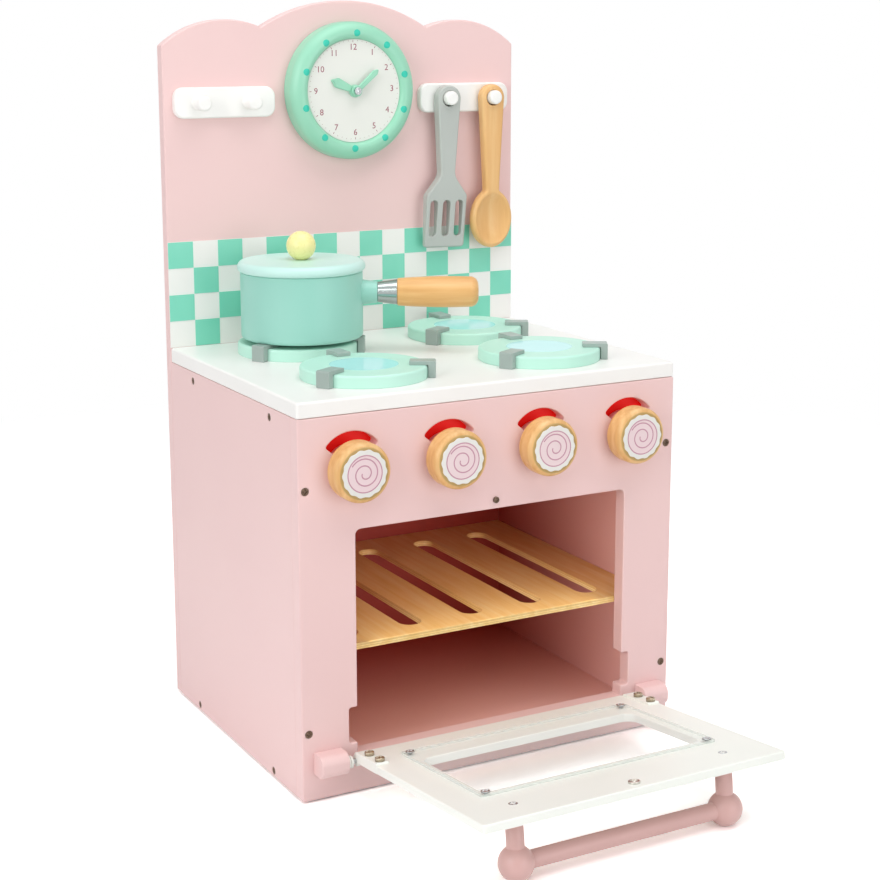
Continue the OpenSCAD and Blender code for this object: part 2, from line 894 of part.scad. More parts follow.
module hinge_washers() {
  color(white_paint) difference() {
    for (side = [-1, 1], i = [0, 1])
      translate([side * (block_x - washer_gap / 2 - i * (washer_t + washer_gap)), hinge_y, hinge_z])
        rotate([0, -side * 90, 0]) cylinder(r = washer_r, h = washer_t);
    pin_solids();
  }
}

module door_magnet() {
  color(steel) on_door() door_magnet_solid();
}

module bar_solid() {
  socket = ball_r * 0.45;
  translate([-ball_x + socket, -handle_s, ball_h]) rotate([0, 90, 0])
    cylinder(r = bar_r, h = 2 * (ball_x - socket));
}

module handle_bar() {
  color("#DDB0AE") on_door() bar_solid();
}

// Turned posts that end in a ball
module handle_posts() {
  color("#DDB0AE") on_door() difference() {
    for (side = [-1, 1]) translate([side * ball_x, -handle_s, ball_h]) {
      sphere(ball_r, $fn = 72);
      cylinder(r = bar_r, h = door_outer - ball_h);
    }
    bar_solid();
    handle_screw_solids();
  }
}

module handle_screws() {
  color(steel) on_door() handle_screw_solids();
}

// ---------- Pan ----------

// Places what is drawn along +Z on the line of the pan's handle
module on_handle() {
  translate([pan_x, pan_y, support_top + handle_rise]) rotate([0, 0, handle_angle])
    rotate([0, 90, 0]) children();
}

module pot_body() {
  foot_round = 3;
  color("#A3DAC9") difference() {
    union() {
      translate([pan_x, pan_y, support_top]) rotate_extrude($fn = 128) {
        square([pan_r - foot_round, pan_h]);
        translate([0, foot_round]) square([pan_r, pan_h - foot_round]);
        translate([pan_r - foot_round, foot_round]) circle(foot_round);
      }
      on_handle() translate([0, 0, socket_start])
        cylinder(r1 = socket_r + socket_flare, r2 = socket_r, h = socket_end - socket_start);
    }
    translate([pan_x, pan_y, support_top + pan_floor])
      cylinder(r = pan_r - pan_wall, h = pan_h, $fn = 128);
  }
}

module pot_ferrule() {
  color(steel) on_handle() difference() {
    translate([0, 0, socket_end]) cylinder(r1 = ferrule_r, r2 = ferrule_end_r, h = ferrule_len);
    translate([0, 0, socket_end - 1]) cylinder(r = tenon_r, h = ferrule_len + 2);
  }
}

// The grip's radius along its length: it swells towards the far end
function grip_radius(z, belly) = grip_r - 1.6 * pow(1 - z / belly, 2);

// The grip's section, which ends in a round nose
module grip_section() {
  nose = 7;
  straight = grip_len - nose;
  belly = grip_len * 0.62;
  end_r = grip_radius(straight, belly) - nose;
  polygon(concat(
    [[0, 0]],
    [for (i = [0:12]) [grip_radius(straight * i / 12, belly), straight * i / 12]],
    [for (a = [15:15:75]) [end_r + nose * cos(a), straight + nose * sin(a)]],
    [[end_r, grip_len], [0, grip_len]]));
}

module pot_handle() {
  color(beech) on_handle() {
    translate([0, 0, socket_end]) cylinder(r = tenon_r, h = ferrule_len + touch);
    translate([0, 0, socket_end + ferrule_len]) rotate_extrude() grip_section();
  }
}

module pot_lid() {
  lid_r = pan_r + lid_lap;
  rim_round = lid_t / 2;
  color("#D3EDEA") translate([pan_x, pan_y, lid_z]) {
    rotate_extrude($fn = 128) {
      square([lid_r - rim_round, lid_t]);
      translate([lid_r - rim_round, rim_round]) circle(rim_round);
    }
    translate([0, 0, -lid_spigot])
      cylinder(r = pan_r - pan_wall - lid_fit, h = lid_spigot + touch, $fn = 128);
  }
}

module lid_knob() {
  seat = 0.6;
  color("#F7EFA8") translate([pan_x, pan_y, lid_z + lid_t]) intersection() {
    translate([0, 0, lid_ball_r - seat]) sphere(lid_ball_r, $fn = 72);
    translate([-lid_ball_r, -lid_ball_r, 0]) cube(2 * lid_ball_r);
  }
}

// ---------- Utensils ----------

// The hanging end that both utensils share: the right half, from the top down
function hanging_end(half_top) = arc_points([0, hang_z], half_top, 90, -6, 12);

module spatula() {
  half_neck = 7;
  half_blade = 20.4;
  neck = 69;
  shoulder = 87;
  corner = 3;
  blade_end = rail_z - turner_len;
  slot_step = 12.8;
  slot_low = 10;
  slot_high = 3.5;
  front = utensil_y - utensil_t;
  right = concat(
    hanging_end(11.5),
    [[half_neck, rail_z - neck], [half_blade - 1, rail_z - shoulder + 1.5],
     [half_blade, rail_z - shoulder - 1]],
    arc_points([half_blade - corner, blade_end + corner], corner, 0, -90, 5));
  color("#B9C0BC") translate([turner_x, 0, hang_z]) rotate([0, turner_lean, 0]) translate([0, 0, -hang_z])
    difference() {
      upright(utensil_y, utensil_t) difference() {
        polygon(concat(right, mirrored(right)));
        translate([0, hang_z]) circle(hang_r);
        for (i = [-1:1])
          slot(i * slot_step, blade_end + slot_low, rail_z - shoulder - slot_high, 7.6);
      }
      // the blade thins towards its end, from the front
      along_x(-half_blade - 5, 2 * half_blade + 10)
        polygon([[front - 1, rail_z - neck - 6],
                 [front, rail_z - neck - 6],
                 [utensil_y - blade_end_t, blade_end - 1],
                 [front - 1, blade_end - 1]]);
    }
}

module spoon() {
  neck = 77.7;
  bowl_half_w = 21;
  bowl_half_h = 26.3;
  bowl_z = rail_z - spoon_len + bowl_half_h;
  dish_depth = 6;
  right = concat(
    hanging_end(12),
    [[7.4, rail_z - neck]],
    [for (a = [62:-8:-82]) [bowl_half_w * cos(a), bowl_z + bowl_half_h * sin(a)]]);
  color(beech) difference() {
    upright(utensil_y, utensil_t) translate([spoon_x, 0]) difference() {
      polygon(concat(right, mirrored(right)));
      translate([0, hang_z]) circle(hang_r);
    }
    translate([spoon_x, utensil_y - utensil_t, bowl_z])
      scale([bowl_half_w - 2.6, dish_depth, bowl_half_h - 3]) sphere(1, $fn = 40);
  }
}

// ---------- The assembly ----------

side_panel(-1);  // side_panel_left
side_panel(1);  // side_panel_right
back_panel();
front_panel();
floor_panel();
oven_ceiling();
hob_top();
top_battens();
shelf_cleats();
oven_shelf();
splashback_sheet();
splashback_tiles();
peg_rails();
rail_pegs();
clock_ring();
clock_face();
clock_dots();
hour_hand();
minute_hand();
clock_screw();
burner(-burner_x, burner_front_y);  // burner_front_left
burner(burner_x, burner_front_y);  // burner_front_right
burner(-burner_x, burner_back_y);  // burner_back_left
burner(burner_x, burner_back_y);  // burner_back_right
pan_support(-burner_x, burner_front_y);  // pan_support_front_left
pan_support(burner_x, burner_front_y);  // pan_support_front_right
pan_support(-burner_x, burner_back_y);  // pan_support_back_left
pan_support(burner_x, burner_back_y);  // pan_support_back_right
for (i = [0:3]) {
  knob(i);
  knob_icing(i);
  knob_spindle(i);
}
door_panel();
door_window();
window_screws();
door_leaves();
leaf_screws();
hinge_blocks();
hinge_pins();
hinge_washers();
door_magnet();
handle_bar();
handle_posts();
handle_screws();
pot_body();
pot_ferrule();
pot_handle();
pot_lid();
lid_knob();
spatula();
spoon();
cabinet_screws();
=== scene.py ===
"""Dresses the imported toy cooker: painted boards, turned wood, fittings and the studio.

Every surface is worked out with numpy in millimetres, in the CAD's own frame (X right,
Y back, Z up, origin on the floor under the cabinet), and goes into its mesh in metres.
"""

import logging
import math
from dataclasses import dataclass
from enum import Enum
from typing import Callable, Sequence

import bpy
import numpy as np
from mathutils.geometry import tessellate_polygon
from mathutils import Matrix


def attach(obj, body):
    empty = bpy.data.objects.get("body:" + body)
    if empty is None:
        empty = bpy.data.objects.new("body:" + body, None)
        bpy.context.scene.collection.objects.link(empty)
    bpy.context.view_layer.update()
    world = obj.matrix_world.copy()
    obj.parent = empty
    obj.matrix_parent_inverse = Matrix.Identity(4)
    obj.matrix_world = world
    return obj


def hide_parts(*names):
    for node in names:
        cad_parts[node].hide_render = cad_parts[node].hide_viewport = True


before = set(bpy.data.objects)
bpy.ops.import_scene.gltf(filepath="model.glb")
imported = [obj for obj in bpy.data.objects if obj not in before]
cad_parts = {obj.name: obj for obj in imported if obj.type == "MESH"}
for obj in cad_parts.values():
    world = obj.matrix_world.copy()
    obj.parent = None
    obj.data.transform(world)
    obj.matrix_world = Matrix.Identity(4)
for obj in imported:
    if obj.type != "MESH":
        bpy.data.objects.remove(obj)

LOG = logging.getLogger("toy_cooker")
Array = np.ndarray
Pair = tuple[float, float]
Triple = tuple[float, float, float]
METRES_PER_MM = 0.001
NOISE_LOW, NOISE_HIGH = 0.3, 0.7  # most of a noise texture's values lie between these
SIDES = (-1, 1)  # left and right, as signs along X
MIRROR = np.array([-1.0, 1.0])

# places that several sub-assemblies share, in millimetres
FRONT_Y = -135.0
WALL_Y = 124.0
HOB_Z = 310.0
RAIL_Z = 514.7
KNOB_X = (-123.0, -41.0, 41.0, 123.0)
KNOB_Z = 256.5
# the oven's inside, where the boards carry painted shade, with a hair more so that the faces that
# bound it are in it
OVEN_INSIDE = {"X": (-155.7, 155.7), "Y": (-122.8, 124.3), "Z": (11.7, 210.3)}
# from the oven's mouth to its back, over which the painted shade goes from its near tint to its
# deep one
OVEN_DEPTH = (-122.0, 123.0)


# ---------------------------------------------------------------- outlines


@dataclass(frozen=True)
class Outline:
    """A plane line with the direction that looks away from the material at each point."""

    points: Array
    normals: Array

    def as_hole(self) -> "Outline":
        """The same line run backwards, so that the material lies outside it."""
        return Outline(self.points[::-1], -self.normals[::-1])

    def moved(self, x: float, y: float) -> "Outline":
        """The same line, shifted by x and y."""
        return Outline(self.points + np.array([x, y]), self.normals)


def unit(vectors: Array) -> Array:
    """Scales each vector to length one; a zero vector stays zero."""
    length = np.linalg.norm(vectors, axis=-1, keepdims=True)
    return vectors / np.where(length > 0, length, 1)


def direction(degrees: float) -> Pair:
    """The cosine and sine of an angle in degrees."""
    angle = math.radians(degrees)
    return math.cos(angle), math.sin(angle)


def bearing(angle: Array) -> Array:
    """The unit vector at each angle, in radians, along a new last axis."""
    return np.stack([np.cos(angle), np.sin(angle)], axis=-1)


def full_turn(count: int) -> Array:
    """Evenly spaced angles once round, in radians."""
    return np.linspace(0, 2 * math.pi, count, endpoint=False)


def with_twin(half: Array, closes: bool = False) -> Array:
    """A right-hand half line that starts on the axis, run on through its mirror image.

    Args:
        half: the half line's points.
        closes: whether it also ends on the axis, so that its end isn't doubled.
    """
    return np.vstack([half, half[::-1][int(closes):-1] * MIRROR])


def rounded(corners: Sequence[Pair], radii: float | Sequence[float] | dict[int, float],
            steps: int = 6, closed: bool = True) -> Outline:
    """Rounds the corners of a polygon or of an open line.

    At each corner an arc of the given radius touches both sides: its normal turns evenly
    from one side's to the other's, and its points lie one radius from the centre. A
    radius of zero keeps the corner as one point with the middle normal.

    Args:
        corners: the corners, anticlockwise for a closed outline.
        radii: one radius for all corners, one for each, or those of the numbered corners
            where all the others stay sharp.
        steps: segments in each arc.
        closed: whether the last corner joins the first.

    Returns:
        The rounded line with exact normals.
    """
    corner = np.asarray(corners, float)
    radius = np.zeros(len(corner))
    if isinstance(radii, dict):
        radius[list(radii)] = list(radii.values())
    else:
        radius[:] = radii
    if closed:
        following = np.roll(corner, -1, axis=0)
        if np.sum(corner[:, 0] * following[:, 1] - corner[:, 1] * following[:, 0]) < 0:
            corner, radius = corner[::-1], radius[::-1]
        ahead = unit(np.roll(corner, -1, axis=0) - corner)
        behind = np.roll(ahead, 1, axis=0)
    else:
        ahead = unit(np.diff(corner, axis=0))
        ahead = np.vstack([ahead, ahead[-1:]])
        behind = np.vstack([ahead[:1], ahead[:-1]])
    turn = np.arctan2(behind[:, 0] * ahead[:, 1] - behind[:, 1] * ahead[:, 0],
                      np.sum(behind * ahead, axis=1))
    start = corner - behind * (radius * np.tan(np.abs(turn) / 2))[:, None]
    share = np.linspace(0, 1, steps + 1)[None, :]
    angle = np.arctan2(-behind[:, 0], behind[:, 1])[:, None] + turn[:, None] * share
    normal = bearing(angle)
    reach = (np.sign(turn) * radius)[:, None, None]
    point = start[:, None, :] + reach * (normal - normal[:, :1])
    single = np.broadcast_to((radius == 0)[:, None], angle.shape)
    middle = np.arange(steps + 1)[None, :] == (steps + 1) // 2
    keep = ~single | middle
    middle_angle = angle[:, :1] + turn[:, None] / 2
    smooth = bearing(middle_angle)
    normal = np.where(single[..., None], smooth, normal)
    return Outline(point[keep], normal[keep])


def rectangle(x0: float, y0: float, x1: float, y1: float, radius: float, steps: int = 6) -> Outline:
    """A rectangle with round corners between two opposite corners."""
    return rounded([(x0, y0), (x1, y0), (x1, y1), (x0, y1)], radius, steps)


def circle(radius: float, count: int = 48) -> Outline:
    """A circle about the origin."""
    angle = full_turn(count)
    normal = bearing(angle)
    return Outline(radius * normal, normal)


def arc(centre: Pair, radius: float, start: float, stop: float, count: int) -> Array:
    """Points on an arc about a centre, with its angles in degrees."""
    angle = np.radians(np.linspace(start, stop, count))
    return np.array(centre) + radius * bearing(angle)


def slot_outline(x: float, y0: float, y1: float, width: float) -> Outline:
    """An upright slot with round ends."""
    return rectangle(x - width / 2, y0, x + width / 2, y1, width / 2 - 0.01, 9)


# ---------------------------------------------------------------- shells


@dataclass(frozen=True)
class Placement:
    """Where a shape's own axes lie in the cabinet's frame, in millimetres."""

    origin: Triple = (0.0, 0.0, 0.0)
    across: Triple = (1.0, 0.0, 0.0)
    up: Triple = (0.0, 1.0, 0.0)
    out: Triple = (0.0, 0.0, 1.0)

    def axes(self) -> Array:
        """The three axes as the rows of a matrix."""
        return np.array([self.across, self.up, self.out], float)


def facing_front(x: float, y: float, z: float, turn: float = 0.0) -> Placement:
    """A shape seen from the front: across X, up Z, out towards -Y.

    Args:
        x, y, z: the origin.
        turn: degrees clockwise, as a clock's hand turns.
    """
    c, s = direction(turn)
    return Placement((x, y, z), (c, 0, -s), (s, 0, c), (0, -1, 0))


def lying(x: float, y: float, z: float) -> Placement:
    """A shape that lies flat: across X, up Y, out along Z."""
    return Placement((x, y, z))


def profile_along_x(x: float, y: float, z: float) -> Placement:
    """A side view in Y and Z, carried along X."""
    return Placement((x, y, z), (0, 1, 0), (0, 0, 1), (1, 0, 0))


@dataclass
class Shell:
    """A closed mesh in the making: points, exact normals, quads and triangles."""

    points: Array
    normals: Array
    quads: Array
    triangles: Array

    def placed(self, place: Placement) -> "Shell":
        """The shell carried into the cabinet's frame."""
        axes = place.axes()
        return Shell(self.points @ axes + np.array(place.origin), self.normals @ axes,
                     self.quads, self.triangles)

    def warped(self, change: Callable[[Array], Array]) -> "Shell":
        """The shell with its points changed by a function of all of them."""
        return Shell(change(self.points), self.normals, self.quads, self.triangles)

    def volume(self) -> float:
        """Signed volume: the sum over triangles of a . (b x c) / 6."""
        faces = np.vstack([self.quads[:, [0, 1, 2]], self.quads[:, [0, 2, 3]], self.triangles])
        a, b, c = (self.points[faces[:, i]] for i in range(3))
        return float(np.sum(a * np.cross(b, c)) / 6)

    def outward(self) -> "Shell":
        """The shell with its faces turned to point outwards."""
        if self.volume() >= 0:
            return self
        return Shell(self.points, self.normals, self.quads[:, ::-1], self.triangles[:, ::-1])

    def open_edges(self) -> int:
        """How many edges don't lie between exactly two faces."""
        quad, tri = self.quads, self.triangles
        edges = np.vstack([quad[:, [i, (i + 1) % 4]] for i in range(4)]
                          + [tri[:, [i, (i + 1) % 3]] for i in range(3)])
        _, count = np.unique(np.sort(edges, axis=1), axis=0, return_counts=True)
        return int(np.sum(count != 2))


def joined(shells: Sequence[Shell]) -> Shell:
    """Several shells as one, each still closed."""
    offsets = np.cumsum([0] + [len(s.points) for s in shells[:-1]])
    return Shell(np.vstack([s.points for s in shells]), np.vstack([s.normals for s in shells]),
                 np.vstack([s.quads + o for s, o in zip(shells, offsets)]),
                 np.vstack([s.triangles + o for s, o in zip(shells, offsets)]))


def grid_quads(rows: int, columns: int, wrap_rows: bool = False) -> Array:
    """Quads between neighbours on a grid whose columns close into a ring."""
    row = np.arange(rows if wrap_rows else rows - 1)[:, None]
    column = np.arange(columns)[None, :]
    below, above = row * columns, ((row + 1) % rows) * columns
    right = (column + 1) % columns
    return np.stack([below + column, below + right, above + right, above + column],
                    axis=-1).reshape(-1, 4)


def pole_fans(rows: int, columns: int) -> Array:
    """Triangles that close a grid of rings with two poles, the points after the grid."""
    low, high, top = rows * columns, rows * columns + 1, (rows - 1) * columns
    column = np.arange(columns)
    after = (column + 1) % columns
    return np.vstack([np.column_stack([np.full(columns, low), after, column]),
                      np.column_stack([np.full(columns, high), top + column, top + after])])


def slab(outer: Outline, holes: Sequence[Outline], thickness: float, back_edge: float,
         front_edge: float, steps: int = 5, hole_edge: float | None = None) -> Shell:
    """A board cut to an outline, with quarter-round edges.

    Around every line the wall is the line moved inwards by e(1 - sin a) at the height
    e(1 - cos a), for a from 0 to a quarter turn, and the same at the front. The two flat
    faces are filled between the innermost lines.

    Args:
        outer: the board's outline.
        holes: outlines of holes, drawn like outer ones.
        thickness: the board's thickness.
        back_edge: radius of the edge at height 0.
        front_edge: radius of the edge at the full thickness.
        steps: segments in a quarter round.
        hole_edge: radius of both edges of the holes, if they differ.

    Returns:
        The closed board, from height 0 to its thickness.
    """
    quarter = np.linspace(0, math.pi / 2, steps + 1)
    sine, cosine = np.sin(quarter), np.cos(quarter)
    sideways = np.concatenate([sine, sine[::-1]])
    upward = np.concatenate([-cosine, cosine[::-1]])
    rows = 2 * (steps + 1)
    points, normals, quads, first, last = [], [], [], [], []
    start = 0
    for line in [outer] + [hole.as_hole() for hole in holes]:
        low, high = back_edge, front_edge
        if line is not outer and hole_edge is not None:
            low = high = hole_edge
        inset = np.concatenate([low * (1 - sine), high * (1 - sine[::-1])])
        height = np.concatenate([low * (1 - cosine), thickness - high * (1 - cosine[::-1])])
        count = len(line.points)
        flat = line.points[None] - inset[:, None, None] * line.normals[None]
        tall = np.broadcast_to(height[:, None, None], (rows, count, 1))
        points.append(np.concatenate([flat, tall], axis=2).reshape(-1, 3))
        aside = sideways[:, None, None] * line.normals[None]
        above = np.broadcast_to(upward[:, None, None], (rows, count, 1))
        normals.append(np.concatenate([aside, above], axis=2).reshape(-1, 3))
        quads.append(grid_quads(rows, count) + start)
        first.append(start + np.arange(count))
        last.append(start + (rows - 1) * count + np.arange(count))
        start += rows * count
    point = np.vstack(points)
    caps = [filled(point, first)[:, ::-1], filled(point, last)]
    return Shell(point, np.vstack(normals), np.vstack(quads), np.vstack(caps)).outward()


def filled(points: Array, loops: Sequence[Array]) -> Array:
    """Triangles that fill the first loop and leave out the others, anticlockwise."""
    flat = [np.column_stack([points[loop][:, :2], np.zeros(len(loop))]) for loop in loops]
    index = np.concatenate(loops)
    triangle = index[np.array(tessellate_polygon(flat))]
    a, b, c = (points[triangle[:, i], :2] for i in range(3))
    turned = np.cross(b - a, c - a) < 0
    return np.where(turned[:, None], triangle[:, ::-1], triangle)


def lathe(profile: Outline, columns: int = 72, ring: bool = False) -> Shell:
    """A profile in radius and height, turned about the height axis.

    A point (r, h) goes to (r cos a, r sin a, h) for a all the way round. An open profile
    begins and ends on the axis, where its end points become the two poles.

    Args:
        profile: radius and height of each point, with the material on its left.
        columns: steps in the full turn.
        ring: whether the profile closes on itself away from the axis.

    Returns:
        The closed turned shape.
    """
    angle = full_turn(columns)
    line, normal = profile.points, profile.normals
    if not ring:
        line, normal = line[1:-1], normal[1:-1]
    spin = bearing(angle)[None]

    def carried(plane: Array) -> Array:
        """Carries (radius, height) pairs round the axis."""
        flat = plane[:, None, :1] * spin
        tall = np.broadcast_to(plane[:, None, 1:], (len(plane), columns, 1))
        return np.concatenate([flat, tall], axis=2).reshape(-1, 3)

    points, normals = carried(line), carried(normal)
    quads = grid_quads(len(line), columns, ring)
    if ring:
        return Shell(points, normals, quads, np.zeros((0, 3), int)).outward()
    low, high = profile.points[[0, -1], 1]
    points = np.vstack([points, [[0, 0, low], [0, 0, high]]])
    normals = np.vstack([normals, [[0, 0, -1.0], [0, 0, 1.0]]])
    return Shell(points, normals, quads, pole_fans(len(line), columns)).outward()


def turned(corners: Sequence[Pair], radii: float | Sequence[float], columns: int = 72,
           steps: int = 6) -> Shell:
    """A turned shape from the corners of its profile, which starts and ends on the axis."""
    line = rounded(corners, radii, steps, closed=False)
    keep = np.concatenate([[True], np.linalg.norm(np.diff(line.points, axis=0), axis=1) > 1e-4])
    return lathe(Outline(line.points[keep], line.normals[keep]), columns)


def cylinder(radius: float, low: float, high: float, edges: Pair, columns: int = 72,
             steps: int = 6) -> Shell:
    """A turned cylinder between two heights, with the radius of its edge at each."""
    return turned([(0, low), (radius, low), (radius, high), (0, high)], [0, *edges, 0],
                  columns, steps)


def turned_ring(inner: float, outer: Pair, height: float, radii: float | Sequence[float],
                columns: int = 72, steps: int = 6) -> Shell:
    """A turned ring with a straight bore, from height 0 up.

    Args:
        inner: the bore's radius.
        outer: the outside radius at the foot and at the top.
        height: the ring's height.
        radii: of the edges, from the bore's foot outwards and up round the section.
        columns: steps in the full turn.
        steps: segments in each edge.
    """
    corners = [(inner, 0), (outer[0], 0), (outer[1], height), (inner, height)]
    return lathe(rounded(corners, radii, steps), columns, ring=True)


def grid_normals(points: Array) -> Array:
    """Normals of a grid of points whose columns close into a ring.

    The cross product of the steps along the rows and along the columns, each taken
    between the neighbours on both sides.
    """
    along = np.gradient(points, axis=0)
    around = np.roll(points, -1, axis=1) - np.roll(points, 1, axis=1)
    return unit(np.cross(around, along))


def capped_grid(points: Array, first_pole: Triple, last_pole: Triple) -> Shell:
    """A grid of rings closed by a pole point at each end."""
    rows, columns, _ = points.shape
    normals = grid_normals(points).reshape(-1, 3)
    axis = unit(np.array(last_pole, float) - np.array(first_pole, float))
    quads, fans = grid_quads(rows, columns), pole_fans(rows, columns)
    point = np.vstack([points.reshape(-1, 3), [first_pole], [last_pole]])
    shell = Shell(point, np.vstack([normals, [-axis], [axis]]), quads, fans)
    if shell.volume() < 0:
        shell = Shell(point, np.vstack([-normals, [-axis], [axis]]), quads, fans)
    return shell.outward()


def ribbon(path: Array, width: float, height: float) -> Shell:
    """A low raised band along an open plane path.

    At each point the section is a flat dome: across by w cos b and up by h sin b over the
    upper half, and flat underneath.

    Args:
        path: (N, 2) points.
        width: the band's width.
        height: how far it stands up.
    """
    along = unit(np.gradient(path, axis=0))
    side = np.stack([along[:, 1], -along[:, 0]], axis=-1)
    bend = np.linspace(0, math.pi, 7)
    section = np.concatenate([bearing(bend), [[0.0, -0.1]]])
    flat = path[:, None] + side[:, None] * section[None, :, :1] * width / 2
    tall = np.broadcast_to(section[None, :, 1:] * height, flat.shape[:2] + (1,))
    grid = np.concatenate([flat, tall], axis=2)
    return capped_grid(grid, tuple(grid[0].mean(axis=0)), tuple(grid[-1].mean(axis=0)))


# ---------------------------------------------------------------- finishes


def linear(code: str) -> tuple[float, float, float, float]:
    """Turns an sRGB hex colour such as #EBC9C8 into linear RGBA."""
    value = np.array([int(code[i:i + 2], 16) for i in (1, 3, 5)]) / 255
    value = np.where(value <= 0.04045, value / 12.92, ((value + 0.055) / 1.055) ** 2.4)
    return (*(float(v) for v in value), 1.0)


Stops = Sequence[tuple[float, tuple[float, float, float, float]]]


def add(tree: bpy.types.NodeTree, kind: str, inputs: dict | None = None, stops: Stops = (),
        **settings) -> bpy.types.Node:
    """Adds a node, sets its properties, and fills or links its inputs.

    Args:
        tree: the node tree.
        kind: the node's type name.
        inputs: input name or number to a value, or to the output socket that feeds it.
        stops: place and linear colour of each stop, where the node has a colour ramp.
        **settings: the node's own properties.

    Returns:
        The node.
    """
    node = tree.nodes.new(kind)
    while len(stops) > len(node.color_ramp.elements if stops else ()):
        node.color_ramp.elements.new(0.5)
    for number, (spot, colour) in enumerate(stops):
        node.color_ramp.elements[number].position = spot
        node.color_ramp.elements[number].color = colour
    for key, value in settings.items():
        setattr(node, key, value)
    for key, value in (inputs or {}).items():
        if isinstance(value, bpy.types.NodeSocket):
            tree.links.new(value, node.inputs[key])
        else:
            node.inputs[key].default_value = value
    return node


def per_mm(size: float) -> float:
    """The texture scale, per metre, at which one feature is this many millimetres."""
    return 1 / (size * METRES_PER_MM)


def new_material(name: str) -> tuple[bpy.types.Material, bpy.types.NodeTree]:
    """An empty node material."""
    material = bpy.data.materials.new(name)
    material.use_nodes = True
    material.node_tree.nodes.clear()
    return material, material.node_tree


class Grain(Enum):
    """The way the wood's fibres run, as the pattern's stretch along X, Y and Z."""

    ALONG_X = (16.0, 1.0, 1.0)
    ALONG_Y = (1.0, 16.0, 1.0)
    ALONG_Z = (1.0, 1.0, 16.0)


@dataclass(frozen=True)
class Finish:
    """What a piece is made of: a named material with its own shading."""

    name: str

    def build(self) -> bpy.types.Material:
        """Makes the material."""
        material, tree = new_material(self.name)
        place = add(tree, "ShaderNodeTexCoord").outputs["Object"]
        shader = add(tree, "ShaderNodeBsdfPrincipled", self.shading(tree, place))
        add(tree, "ShaderNodeOutputMaterial", {"Surface": shader.outputs[0]})
        return material

    def shading(self, tree: bpy.types.NodeTree, place: bpy.types.NodeSocket) -> dict:
        """The shader's inputs, worked out from the place on the object."""
        raise NotImplementedError


@dataclass(frozen=True)
class SatinPaint(Finish):
    """Sprayed acrylic lacquer or a printed film on board or turned wood.

    Even and satin: a faint orange peel breaks up the highlights, and the tint drifts a
    little where the coat is thinner. Inside the oven the boards carry painted shade: a
    light pink at the mouth that deepens to red-brown at the back. A glow, where set, is
    painted light.
    """

    tint: str
    thin: str
    roughness: float = 0.40
    peel: float = 3.0
    peel_depth: float = 0.004
    gloss_drift: float = 0.015
    drift: float = 90.0
    inside: tuple[str, str] | None = None
    # painted light: how strongly the paint glows in its own tint
    glow: float = 0.0

    def shading(self, tree: bpy.types.NodeTree, place: bpy.types.NodeSocket) -> dict:
        """Noise at two scales: orange peel in the shine, slow drift in the tint; then the painted
        shade inside the oven and the painted glow, where set.
        """
        # real orange peel is under 1 mm; it is drawn coarser so that it shows
        peel = add(tree, "ShaderNodeTexNoise", {"Vector": place, "Scale": per_mm(self.peel),
                                                "Detail": 2.0, "Roughness": 0.5})
        drift = add(tree, "ShaderNodeTexNoise", {"Vector": place, "Scale": per_mm(self.drift),
                                                 "Detail": 2.0})
        colour = add(tree, "ShaderNodeValToRGB", {0: drift.outputs["Fac"]},
                     [(0.35, linear(self.tint)), (0.75, linear(self.thin))]).outputs["Color"]
        # painted shade inside the oven, deepening towards the back
        if self.inside:
            colour = self.lined(tree, place, colour)
        gloss = add(tree, "ShaderNodeMapRange", {
            0: peel.outputs["Fac"], 1: NOISE_LOW, 2: NOISE_HIGH,
            3: self.roughness - self.gloss_drift, 4: self.roughness + self.gloss_drift})
        bump = add(tree, "ShaderNodeBump", {"Height": peel.outputs["Fac"], "Strength": 0.1,
                                            "Distance": self.peel_depth * METRES_PER_MM})
        # the emission is a painted glow, not a lamp; only the red sets it
        return {
            "Base Color": colour, "Roughness": gloss.outputs[0], "Normal": bump.outputs[0],
            "IOR": 1.47, "Emission Color": linear(self.tint), "Emission Strength": self.glow}

    def lined(self, tree: bpy.types.NodeTree, place: bpy.types.NodeSocket,
              colour: bpy.types.NodeSocket) -> bpy.types.NodeSocket:
        """Paints shade into the oven's inside, a box in the cabinet: light at the mouth, dark at
        the back.
        """
        axes = add(tree, "ShaderNodeSeparateXYZ", {0: place})
        within = None
        for axis, limits in OVEN_INSIDE.items():
            for limit, operation in zip(limits, ("GREATER_THAN", "LESS_THAN")):
                test = add(tree, "ShaderNodeMath", {
                    0: axes.outputs[axis], 1: limit * METRES_PER_MM},
                    operation=operation).outputs[0]
                within = test if within is None else add(
                    tree, "ShaderNodeMath", {0: within, 1: test}, operation="MULTIPLY").outputs[0]
        near, deep_shade = self.inside
        front, back = (limit * METRES_PER_MM for limit in OVEN_DEPTH)
        depth = add(tree, "ShaderNodeMapRange", {0: axes.outputs["Y"], 1: front, 2: back,
                                                 3: 0.0, 4: 1.0})
        # painted shade: the near tint at the mouth blends into the deep one at the back
        coat = add(tree, "ShaderNodeMix", {0: depth.outputs[0], 6: linear(near),
                                           7: linear(deep_shade)}, data_type="RGBA")
        return add(tree, "ShaderNodeMix", {0: within, 6: colour, 7: coat.outputs[2]},
                   data_type="RGBA").outputs[2]


